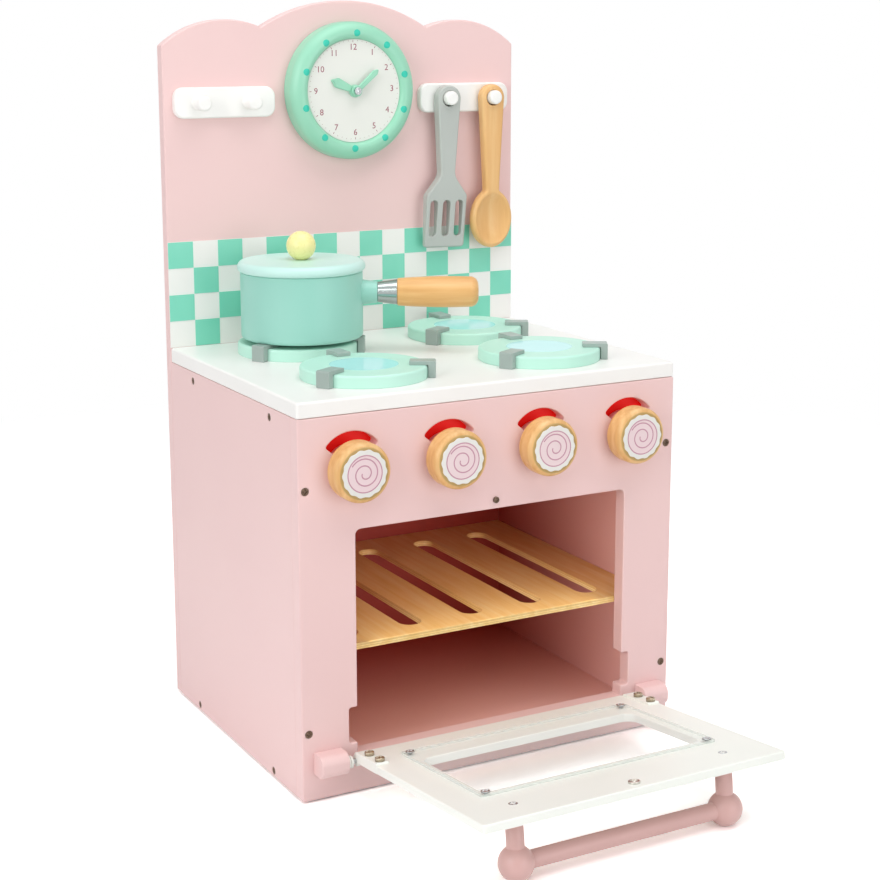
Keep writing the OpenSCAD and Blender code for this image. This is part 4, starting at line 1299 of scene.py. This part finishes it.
@dataclass
class Knobs:
    """Four knobs like iced biscuits, each on a spindle with a red flange."""

    face: float = -135.4
    radius: float = 22.9
    depth: float = 20.0
    icing_r: float = 17.9
    toast_r: float = 20.2
    toast_fade: float = 0.9
    toast_depth: float = 3.0
    waves: int = 14
    wave: float = 0.4
    circle_r: float = 13.9
    swirl_start: float = 2.2
    swirl_turns: float = 1.95
    swirl_end: float = 148.0

    def build(self) -> None:
        """Makes the four knobs with their icing, swirl and flange."""
        biscuit = cylinder(self.radius, 0, self.depth, (6.0, 5.0), 96, 14)
        radius = np.hypot(biscuit.points[:, 0], biscuit.points[:, 1])
        toast = (np.clip(biscuit.points[:, 2] - self.depth + self.toast_depth, 0, 1)
                 * np.clip((self.toast_r - radius) / self.toast_fade, 0, 1))
        for number, x in enumerate(KNOB_X, start=1):
            body, place = f"knob_{number}_turn", facing_front(x, self.face, KNOB_Z)
            put(f"knob_{number}_biscuit", biscuit, KNOB_WOOD, body,
                [f"knob_{number}"], place, toast)
            for kind, shell, finish, rise, nodes in (
                    ("frosting", self.frosting(), ICING, 0.0, [f"knob_icing_{number}"]),
                    ("cream", self.cream(), CREAM, 0.5, []),
                    ("swirl", self.swirl(), SWIRL, 0.53, [])):
                put(f"knob_{number}_{kind}", shell, finish, body, nodes,
                    facing_front(x, self.face - self.depth - rise, KNOB_Z))
            dress_node(f"knob_spindle_{number}", RED)

    def frosting(self) -> Shell:
        """White icing whose rim has n soft waves: r = R + a cos n b."""
        angle = full_turn(280)
        radius = self.icing_r + self.wave * np.cos(self.waves * angle)
        corners = radius[:, None] * bearing(angle)
        return slab(rounded(corners, 0.0), [], 0.5, 0.02, 0.35, 4)

    def cream(self) -> Shell:
        """The pale pink round under the swirl."""
        return cylinder(self.circle_r, -0.2, 0.05, (0.05, 0.05), steps=2)

    def swirl(self) -> Shell:
        """A circle and, inside it, a spiral whose radius grows evenly with its turn."""
        turn = np.linspace(0, self.swirl_turns * 2 * math.pi, 200)
        radius = (self.swirl_start
                  + (0.88 * self.circle_r - self.swirl_start) * turn / turn[-1])
        angle = turn - turn[-1] + math.radians(self.swirl_end)
        spiral = radius[:, None] * bearing(angle)
        rim = turned_ring(self.circle_r - 0.45, (self.circle_r + 0.45,) * 2, 0.14, 0.06, steps=2)
        return joined([ribbon(spiral, 1.05, 0.16), rim])


# ---------------------------------------------------------------- door


@dataclass
class Door:
    """The drop-down door: panel, clear pane, hinge leaves, catch and handle."""

    axis_y: float = -144.3
    axis_z: float = 30.6
    half: float = 128.0
    length: float = 195.4
    thickness: float = 6.6
    inner_face: float = 5.4
    tail: float = 2.5
    rebate: float = 3.0
    rebate_end: float = 8.0
    glass_x: float = 94.5
    glass_near: float = 43.5
    glass_far: float = 137.0
    pane_x: float = 101.0
    pane_near: float = 23.5
    pane_far: float = 146.5
    pane_t: float = 2.1
    pane_screw_x: float = 95.6
    magnet_s: float = 185.6
    leaf_w: float = 10.7
    leaf_len: float = 36.3
    leaf_top: float = 7.0
    ball_r: float = 13.0
    bar_r: float = 6.5
    bar_sunk: float = 5.0
    ball_x: float = 89.6
    handle_s: float = 169.7
    handle_h: float = -36.7

    @property
    def outer_face(self) -> float:
        """Height of the panel's outer face over the hinge axis."""
        return self.inner_face - self.thickness

    @property
    def tilt(self) -> float:
        """The open door's slope, in radians: its handle's balls rest on the floor."""
        reach = math.hypot(self.handle_s, self.handle_h)
        return (math.atan2(-self.handle_h, self.handle_s)
                + math.asin((self.ball_r - self.axis_z) / reach))

    def place(self, x: float = 0.0, s: float = 0.0, h: float = 0.0,
              upside_down: bool = False) -> Placement:
        """A frame on the open door: across X, up towards the hinge, out of its inner face.

        Args:
            x: across the door.
            s: along the door from the hinge axis.
            h: above the axis, square to the door.
            upside_down: whether the frame looks out of the outer face instead.
        """
        c, t = math.cos(self.tilt), math.sin(self.tilt)
        origin = (x, self.axis_y - s * c + h * t, self.axis_z + s * t + h * c)
        if upside_down:
            return Placement(origin, (1, 0, 0), (0, -c, t), (0, -t, -c))
        return Placement(origin, (1, 0, 0), (0, c, -t), (0, t, c))

    def side_place(self, x: float, s: float = 0.0, h: float = 0.0) -> Placement:
        """A side view of the open door, carried along X."""
        frontal = self.place(x, s, h)
        return Placement(frontal.origin, frontal.up, frontal.out, frontal.across)

    def build(self) -> None:
        """Makes the whole door and the fixed half of its hinges."""
        self.panel()
        self.leaves()
        self.screws()
        self.catch()
        self.handle()
        self.hinges()

    def panel(self) -> None:
        """The white panel round its window, and the clear pane screwed behind it."""
        root, w = self.half - self.leaf_w, self.half
        rebate = w - self.rebate
        right = [(root, self.tail), (root, -self.rebate_end), (rebate, -self.rebate_end),
                 (rebate, -self.leaf_len), (w, -self.leaf_len), (w, -self.length)]
        left = [(-x, y) for x, y in right[::-1]]
        radii = [1.2, 0.5, 0.5, 0.5, 1.1, 2.6]
        middle = -(self.glass_near + self.glass_far) / 2
        tall = (self.glass_far - self.glass_near) / 2
        window = rectangle(-self.glass_x, middle - tall, self.glass_x, middle + tall, 9.0, 10)
        board = slab(rounded(right + left, radii + radii[::-1]), [window], self.thickness,
                     1.0, 1.0)
        put("door_board", board, DOOR_WHITE, "door", ["door_panel"],
            self.place(h=self.outer_face))
        pane = slab(rectangle(-self.pane_x, -self.pane_far, self.pane_x, -self.pane_near, 2.0),
                    [], self.pane_t, 0.25, 0.25, 2)
        put("door_pane", pane, CLEAR, "door", ["door_window"],
            self.place(h=self.inner_face + 0.02), edge=SAWN)

    def leaves(self) -> None:
        """The two hinge leaves: bars with a rounded root about the pin."""
        under, knuckle, bend = self.outer_face - 0.12, 4.3, 4.8
        corners = np.vstack([[(-self.leaf_len, under), (-6.5, under)],
                             arc((0, 0), knuckle, -112, 58, 22),
                             arc((-2.6, self.leaf_top - bend), bend, 25, 90, 10),
                             [(-self.leaf_len, self.leaf_top)]])
        leaf = slab(rounded(corners, {0: 0.6, -1: 1.2}), [circle(2.05, 28)], self.leaf_w,
                    0.5, 0.5, 4, hole_edge=0.2)
        bars = [leaf.placed(self.side_place(x)) for x in (-self.half, self.half - self.leaf_w)]
        put("hinge_leaf_bars", joined(bars), DOOR_WHITE, "door", ["door_leaves"])

    def screws(self) -> None:
        """Screws in the leaves, at the pane's corners and through into the handle posts."""
        for name, screw, x, spots, height, finish, node in (
                ("leaf_screw_set", CrossScrew(3.7, 2.6, 1.5, 9.0, dome=1.0),
                 self.half - self.leaf_w / 2, (14.5, 32.0), self.leaf_top + 2.6,
                 BRASSED, "leaf_screws"),
                ("pane_screw_set", CrossScrew(3.4, 0.9, 1.3, 5.0, dome=0.3), self.pane_screw_x,
                 (28.6, 142.4), self.inner_face + self.pane_t + 0.9, ZINC, "window_screws"),
                ("post_screw_set", CrossScrew(3.4, 1.2, 1.7, 12.0, dome=0.2), self.ball_x,
                 (self.handle_s,), self.inner_face + 0.15, ZINC, "handle_screws")):
            placed = [screw.shell().placed(self.place(side * x, s, height))
                      for side in SIDES for s in spots]
            put(name, joined(placed), finish, "door", [node])

    def catch(self) -> None:
        """The round magnet in its cup, let into the inner face."""
        cup = turned([(0, -3.0), (4.4, -3.0), (4.4, 1.6), (3.3, 1.6), (3.3, 1.1), (1.4, 1.1),
                      (1.2, 0.4), (0, 0.4)], [0, 0.3, 0.4, 0.15, 0.1, 0.2, 0.2, 0], 48, 4)
        put("magnet_cup", cup, NICKEL, "door", ["door_magnet"],
            self.place(0, self.magnet_s, self.inner_face))

    def handle(self) -> None:
        """Two turned posts that end in balls, with the bar between them."""
        reach = self.outer_face - self.handle_h
        shoulder = math.degrees(math.asin(self.bar_r / self.ball_r))
        ball = arc((0, reach), self.ball_r, -90 + shoulder, 90, 34)
        profile = np.vstack([[(0, -0.2), (self.bar_r, -0.2)], ball])
        post = lathe(rounded(profile, {2: 0.5}, closed=False))
        posts = [post.placed(self.place(side * self.ball_x, self.handle_s, self.outer_face, True))
                 for side in SIDES]
        put("handle_post_pair", joined(posts), HANDLE_PINK, "door",
            ["handle_posts"])
        span = self.ball_x - self.bar_sunk
        bar = cylinder(self.bar_r, -span, span, (0.5, 0.5), 64, 3)
        put("handle_rod", bar, HANDLE_PINK, "door", ["handle_bar"],
            self.side_place(0, self.handle_s, self.handle_h))

    def hinges(self) -> None:
        """The pink hinge blocks, their pins and the washers, all fixed to the cabinet."""
        out, below, above, start, length = 16.0, 8.2, 9.2, 135.2, 23.1
        face = FRONT_Y - self.axis_y
        outline = rounded([(face - out, -below), (face, -below), (face, above),
                           (face - out, above)], [7.0, 0.9, 0.9, 7.0], 10)
        block = slab(outline, [], length, 0.8, 0.8, 4)
        blocks = [block.placed(profile_along_x(x, self.axis_y, self.axis_z))
                  for x in (-start - length, start)]
        put("hinge_block_pair", joined(blocks), PINK, "cabinet", ["hinge_blocks"])
        pin = cylinder(1.98, -13.9, 17.3, (0.3, 0.4), 32, 3)
        ring = turned_ring(2.02, (4.8, 4.8), 1.8, 0.4, 48, 3)
        pins, washers = [], []
        for side in SIDES:
            spots = [Placement((side * x, self.axis_y, self.axis_z), (0, 1, 0), (0, 0, -side),
                               (-side, 0, 0)) for x in (start - 0.1, start - 2.2, start)]
            washers += [ring.placed(spot) for spot in spots[:2]]
            pins.append(pin.placed(spots[2]))
        put("hinge_pin_pair", joined(pins), ZINC, "cabinet", ["hinge_pins"])
        put("hinge_washer_pair", joined(washers), DOOR_WHITE, "cabinet",
            ["hinge_washers"])


# ---------------------------------------------------------------- pan


@dataclass
class Pan:
    """The lidded pan on the back left burner."""

    x: float = -77.0
    y: float = 53.5
    foot: float = 323.3
    radius: float = 50.7
    height: float = 55.2
    wall: float = 4.5
    floor: float = 6.0
    rise: float = 37.0
    heading: float = -28.0
    socket_start: float = 47.0
    socket_end: float = 63.0
    socket_r: float = 10.9
    socket_end_r: float = 8.7
    ferrule: float = 16.5
    ferrule_r: float = 8.4
    ferrule_end_r: float = 10.7
    grip: float = 67.5
    grip_r: float = 13.0
    grip_swell: float = 1.6
    grip_root_r: float = 6.9
    nose: float = 7.0
    lid_t: float = 9.0
    lid_over: float = 2.3
    plug: float = 5.0
    plug_gap: float = 0.7
    ball_r: float = 12.2
    ball_seat: float = 0.6

    def handle_place(self, along: float) -> Placement:
        """A frame on the handle's line, looking along it."""
        c, s = direction(self.heading)
        return Placement((self.x + along * c, self.y + along * s, self.foot + self.rise),
                         (-s, c, 0), (0, 0, 1), (c, s, 0))

    def build(self) -> None:
        """Makes the pan, its handle and its lid."""
        inner = self.radius - self.wall
        vessel = turned([(0, 0), (self.radius, 0), (self.radius, self.height),
                         (inner, self.height), (inner, self.floor), (0, self.floor)],
                        [0, 3.0, 1.4, 1.4, 4.0, 0], 144, 7).placed(lying(self.x, self.y, self.foot))
        start, end = self.socket_start, self.socket_end
        socket = turned([(0, start), (self.socket_r, start), (self.socket_end_r, end), (0, end)],
                        [0, 0.3, 1.0, 0], 64, 5).placed(self.handle_place(0))
        put("pan_vessel", joined([vessel, socket]), PAN_MINT, "pan_body",
            ["pot_body"])
        tube = turned_ring(7.2, (self.ferrule_r, self.ferrule_end_r), self.ferrule,
                           [0.2, 0.5, 0.5, 0.2], steps=4)
        put("ferrule_tube", tube, CHROME, "pan_body", ["pot_ferrule"],
            self.handle_place(self.socket_end))
        put("wooden_grip", self.grip_shell(), GRIP_WOOD, "pan_body", ["pot_handle"],
            self.handle_place(self.socket_end + self.ferrule))
        self.lid()

    def grip_shell(self) -> Shell:
        """The grip: r(z) = R - w (1 - z/b)^2, widest at b, ending in a round nose."""
        straight, widest = self.grip - self.nose, self.grip * 0.62
        z = np.linspace(0, straight, 24)
        r = self.grip_r - self.grip_swell * (1 - z / widest) ** 2
        end, root = r[-1] - self.nose, self.grip_root_r
        tip = arc((end, straight), self.nose, 0, 90, 14)[1:]
        face = np.stack([np.linspace(end, 0, 4)[1:], np.full(3, self.grip)], axis=-1)
        line = np.vstack([[(0, -2.0), (root, -2.0), (root, 0.01)], np.stack([r, z], axis=-1),
                          tip, face])
        return lathe(rounded(line, {1: 0.2, 2: 0.2, 3: 1.0}, 5, closed=False))

    def lid(self) -> None:
        """The lid with its round edge, and the ball on top."""
        rim, top, low = self.radius + self.lid_over, self.lid_t, -self.plug
        plug = self.radius - self.wall - self.plug_gap
        lid = turned([(0, low), (plug, low), (plug, 0.0), (rim, 0.0), (rim, top), (0, top)],
                     [0, 1.0, 0.3, 3.6, 5.0, 0], 144, 9)
        put("lid_disc", lid, LID_MINT, "lid_body", ["pot_lid"],
            lying(self.x, self.y, self.foot + self.height))
        middle = self.ball_r - self.ball_seat
        sunk = math.degrees(math.asin(middle / self.ball_r))
        ball = np.vstack([[(0, 0)], arc((0, middle), self.ball_r, -sunk, 90, 40)])
        put("lid_ball", lathe(rounded(ball, {1: 0.4}, 4, closed=False)), YELLOW, "lid_body",
            ["lid_knob"], lying(self.x, self.y, self.foot + self.height + top))


# ---------------------------------------------------------------- utensils


@dataclass
class Utensils:
    """The slotted turner and the spoon on the right rail."""

    back: float = 117.0
    thickness: float = 10.0
    hang_z: float = 514.2
    hang_r: float = 7.0
    turner_x: float = 93.7
    turner_lean: float = 1.2
    blade_end_t: float = 3.6
    top_r: float = 11.5
    neck_half: float = 7.0
    shoulder_half: float = 20.4
    blade_half: float = 20.3
    slot_step: float = 12.8
    slot_w: float = 7.6
    spoon_x: float = 138.7
    bowl_z: float = RAIL_Z - 109.5

    def build(self) -> None:
        """Makes both utensils."""
        self.turner()
        self.spoon()

    def turner(self) -> None:
        """The turner: a tapering handle, a wide blade that thins, three slots."""
        neck_z, shoulder_z, end_z = RAIL_Z - 69, RAIL_Z - 87, RAIL_Z - 133.3
        top = arc((0, self.hang_z), self.top_r, 90, -2, 16)
        right = np.vstack([top, [(self.neck_half, neck_z), (self.shoulder_half, shoulder_z + 0.8),
                                 (self.blade_half, end_z)]])
        corners = with_twin(right)
        at, count = len(top), len(corners)
        bends = {at: 12.0, at + 1: 5.0, at + 2: 3.2}
        bends |= {count - index: radius for index, radius in bends.items()}
        slots = [slot_outline(step * self.slot_step, end_z + 10, shoulder_z - 3.5, self.slot_w)
                 for step in (-1, 0, 1)]
        hole = circle(self.hang_r, 40).moved(0, self.hang_z)
        blade = slab(rounded(corners, bends, 8), slots + [hole], self.thickness, 1.4, 1.6, 6,
                     hole_edge=0.5)

        def thinned(points: Array) -> Array:
            """Thins the blade from the front, evenly from below the neck to its end."""
            share = np.clip((neck_z - 6 - points[:, 1]) / (neck_z - 6 - end_z), 0, 1)
            scale = 1 - (1 - self.blade_end_t / self.thickness) * share
            return points * np.stack([np.ones_like(scale), np.ones_like(scale), scale], axis=-1)

        hung = blade.warped(thinned).placed(lying(0, -self.hang_z, 0))
        put("slotted_turner", hung, TURNER_GREY, "spatula_body", ["spatula"],
            facing_front(self.turner_x, self.back, self.hang_z, self.turner_lean))

    def spoon(self) -> None:
        """The spoon: a flat handle with a hanging hole, run into a dished bowl."""
        put("wooden_spoon", joined([self.spoon_handle(), self.spoon_bowl()]), SPOON_WOOD,
            "spoon_body", ["spoon"], facing_front(self.spoon_x, self.back, 0))

    def spoon_half_width(self, z: Array) -> Array:
        """Half the spoon's width: a straight taper to the neck, then the bowl's ellipse.

        The two are joined by a soft maximum, (a^8 + b^8)^(1/8).
        """
        neck_z, neck_w, gain, half_w, half_h = RAIL_Z - 77.7, 7.4, 4.6, 21.0, 26.3
        taper = neck_w + gain * np.clip((z - neck_z) / (self.hang_z - neck_z), 0, 1)
        taper = np.where(z > self.bowl_z, taper, 0)
        bowl = half_w * np.sqrt(np.clip(1 - ((z - self.bowl_z) / half_h) ** 2, 0, 1))
        return (taper ** 8 + bowl ** 8) ** (1 / 8)

    def spoon_handle(self) -> Shell:
        """The handle as a board with well rounded edges, down to where the bowl begins."""
        low = RAIL_Z - 72
        top = arc((0, self.hang_z), 12.0, 90, 0, 16)
        edge = float(self.spoon_half_width(np.array(low)))
        right = np.vstack([top, [(edge, low)]])
        corners = with_twin(right)
        outline = rounded(corners, {len(top): 3.1, len(corners) - len(top): 3.1}, 8)
        hole = circle(self.hang_r, 40).moved(0, self.hang_z)
        return slab(outline, [hole], self.thickness, 3.0, 3.0, 8, hole_edge=0.6)

    def spoon_bowl(self) -> Shell:
        """The bowl as rings across the spoon, from the neck to the tip.

        Each ring is a rounded rectangle: lane times the flat half width, plus a round edge
        of radius e. The front is lowered by the dish, D (1 - (x/a)^2 - (z/b)^2)^0.8, and
        the thickness falls to nothing at the tip as (1 - q^6)^(1/2).
        """
        start, tip, bowl_z = RAIL_Z - 67, RAIL_Z - 135.8, self.bowl_z
        dish_w, dish_h, dish = 17.8, 22.8, 6.0
        share = np.sin(np.linspace(0, math.pi / 2, 64))
        z = (start + (tip - start) * share)[:-1]
        half_w = self.spoon_half_width(z) + 0.02
        past = np.clip((bowl_z - z) / (bowl_z - tip), 0, 1)
        half_t = (self.thickness / 2 + 0.02) * (0.35 + 0.65 * np.sqrt(1 - past ** 6))
        edge = np.minimum(3.0 + 1.4 * np.clip((RAIL_Z - 78 - z) / 20, 0, 1), half_t * 0.95)
        edge = np.minimum(edge, half_w * 0.9)
        quarter = np.linspace(0, math.pi / 2, 7)
        lane_front, lane_back = np.linspace(1, -1, 37), np.linspace(-1, 1, 17)
        lane = np.concatenate([np.ones(6), lane_front, -np.ones(12), lane_back[1:-1], np.ones(6)])
        bend = np.concatenate([quarter[:-1], np.full(37, math.pi / 2), quarter[1:] + math.pi / 2,
                               quarter[:-1] + math.pi, np.full(15, 1.5 * math.pi),
                               quarter[:-1] + 1.5 * math.pi])
        side = np.where(np.sin(bend) > -1e-9, 1.0, -1.0)
        side[bend > math.pi - 1e-9] = -1.0
        x = lane[None] * (half_w - edge)[:, None] + edge[:, None] * np.cos(bend)[None]
        d = (self.thickness / 2 + side[None] * (half_t - edge)[:, None]
             + edge[:, None] * np.sin(bend)[None])
        hollow = np.clip(1 - (x / dish_w) ** 2 - ((z - bowl_z) / dish_h)[:, None] ** 2, 0, 1)
        d = d - dish * hollow ** 0.8 * (side > 0)[None] * np.clip((d - 5) / 2, 0, 1)
        grid = np.stack([x, np.broadcast_to(z[:, None], x.shape), d], axis=-1)
        middle = self.thickness / 2
        return capped_grid(grid, (0, float(z[0]), middle), (0, tip, middle))


# ---------------------------------------------------------------- studio


@dataclass
class Studio:
    """The plain floor, soft lamps, pale world and the photograph's camera, in metres."""

    eye: Triple = (-0.6773, -1.2839, 0.5768)
    yaw: float = 29.13
    pitch: float = 11.17
    lens: float = 72.53
    shift: Pair = (-0.0160, -0.0718)
    mouth_power: float = 0.11
    mouth_size: Pair = (0.21, 0.165)
    mouth_spot: Triple = (0.0, -0.1225, 0.125)
    mouth_colour: Triple = (1.0, 0.87, 0.80)
    world_power: float = 0.33
    floor_half: float = 6.0
    floor_drop: float = 0.0004
    floor_fade: Pair = (0.5, 1.3)
    floor_grey: float = 0.86
    floor_shown: float = 1.75

    def build(self) -> None:
        """Makes the floor, the world, the lamps and the camera."""
        self.floor()
        self.world()
        self.lamps()
        self.camera()

    def straight_rays(self, tree: bpy.types.NodeTree) -> bpy.types.NodeSocket:
        """One for what the camera sees, also in a shine or through the pane, else zero."""
        path = add(tree, "ShaderNodeLightPath")
        seen = path.outputs["Is Camera Ray"]
        for ray in ("Is Glossy Ray", "Is Transmission Ray"):
            seen = add(tree, "ShaderNodeMath", {0: seen, 1: path.outputs[ray]},
                       operation="MAXIMUM").outputs[0]
        return seen

    def floor(self) -> None:
        """A large pale floor: white to the camera, with the object's soft shadow."""
        material, tree = new_material("studio_floor")
        place = add(tree, "ShaderNodeTexCoord").outputs["Object"]
        away = add(tree, "ShaderNodeVectorMath", {0: place}, operation="LENGTH")
        near, far = self.floor_fade
        fade = add(tree, "ShaderNodeMapRange", {0: away.outputs["Value"], 1: near, 2: far,
                                                3: 0.0, 4: 1.0})
        matte, bright = (add(tree, "ShaderNodeBsdfDiffuse", {"Color": (grey, grey, grey, 1.0)})
                         for grey in (self.floor_grey, self.floor_shown))
        white = add(tree, "ShaderNodeEmission", {"Color": (1, 1, 1, 1), "Strength": 1.0})
        shown = add(tree, "ShaderNodeMixShader", {0: fade.outputs[0], 1: bright.outputs[0],
                                                  2: white.outputs[0]})
        mix = add(tree, "ShaderNodeMixShader", {0: self.straight_rays(tree), 1: matte.outputs[0],
                                                2: shown.outputs[0]})
        add(tree, "ShaderNodeOutputMaterial", {"Surface": mix.outputs[0]})
        mesh = bpy.data.meshes.new("studio_floor")
        half = self.floor_half
        mesh.from_pydata([(-half, -half, 0), (half, -half, 0), (half, half, 0), (-half, half, 0)],
                         [], [(0, 1, 2, 3)])
        mesh.materials.append(material)
        plane = linked("studio_floor", mesh)
        plane.location.z = -self.floor_drop

    def world(self) -> None:
        """A pale surround: white to the camera, softer as a light."""
        world = bpy.data.worlds.new("studio_world")
        bpy.context.scene.world = world
        world.use_nodes = True
        tree = world.node_tree
        tree.nodes.clear()
        light, white = (
            add(tree, "ShaderNodeBackground", {"Color": (1, 1, 1, 1), "Strength": power})
            for power in (self.world_power, 1.0))
        mix = add(tree, "ShaderNodeMixShader", {0: self.straight_rays(tree), 1: light.outputs[0],
                                                2: white.outputs[0]})
        add(tree, "ShaderNodeOutputWorld", {"Surface": mix.outputs[0]})

    def lamps(self) -> None:
        """Soft boxes overhead, from the left and from the front, and a panel at the oven."""
        for name, spot, aim, width, power in (
                ("overhead", (0.1, -0.5, 2.2), (0, 0, 0.2), 1.8, 26.0),
                ("left", (-2.2, -0.9, 1.2), (0, 0, 0.3), 1.6, 26.0),
                ("front", (0.7, -2.4, 0.6), (0, 0, 0.1), 1.4, 13.0)):
            lamp = bpy.data.lights.new(f"{name}_softbox", "AREA")
            lamp.shape, lamp.size, lamp.energy = "SQUARE", width, power
            holder = linked(f"{name}_softbox", lamp)
            holder.location = spot
            toward = np.array(aim, float) - np.array(spot, float)
            level = math.hypot(toward[0], toward[1])
            holder.rotation_euler = (math.atan2(level, -toward[2]), 0,
                                     math.atan2(toward[1], toward[0]) - math.pi / 2)
        # a weak warm panel just inside the oven's mouth, facing in, opens up its shade
        panel = bpy.data.lights.new("mouth_panel", "AREA")
        panel.shape, (panel.size, panel.size_y) = "RECTANGLE", self.mouth_size
        panel.energy, panel.color = self.mouth_power, self.mouth_colour
        holder = linked("mouth_panel", panel)
        holder.location, holder.rotation_euler = self.mouth_spot, (math.pi / 2, 0, 0)
        holder.visible_camera = holder.visible_glossy = False

    def camera(self) -> None:
        """The camera that the photograph was solved for."""
        data = bpy.data.cameras.new("photo_camera")
        data.lens, data.sensor_width, data.sensor_fit = self.lens, 36.0, "HORIZONTAL"
        data.shift_x, data.shift_y = self.shift
        data.clip_start, data.clip_end = 0.01, 50.0
        camera = linked("photo_camera", data)
        camera.location = self.eye
        camera.rotation_euler = (math.radians(90 - self.pitch), 0, math.radians(-self.yaw))
        bpy.context.scene.camera = camera


def main() -> None:
    """Builds every sub-assembly in order, then the studio."""
    logging.basicConfig(level=logging.INFO, format="%(message)s")
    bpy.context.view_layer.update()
    for part in (Cabinet(), BackWall(), Clock(), Hob(), Knobs(), Door(), Pan(), Utensils()):
        part.build()
    Studio().build()
    bpy.context.scene.view_settings.view_transform = "Standard"


if __name__ == "__main__":
    main()
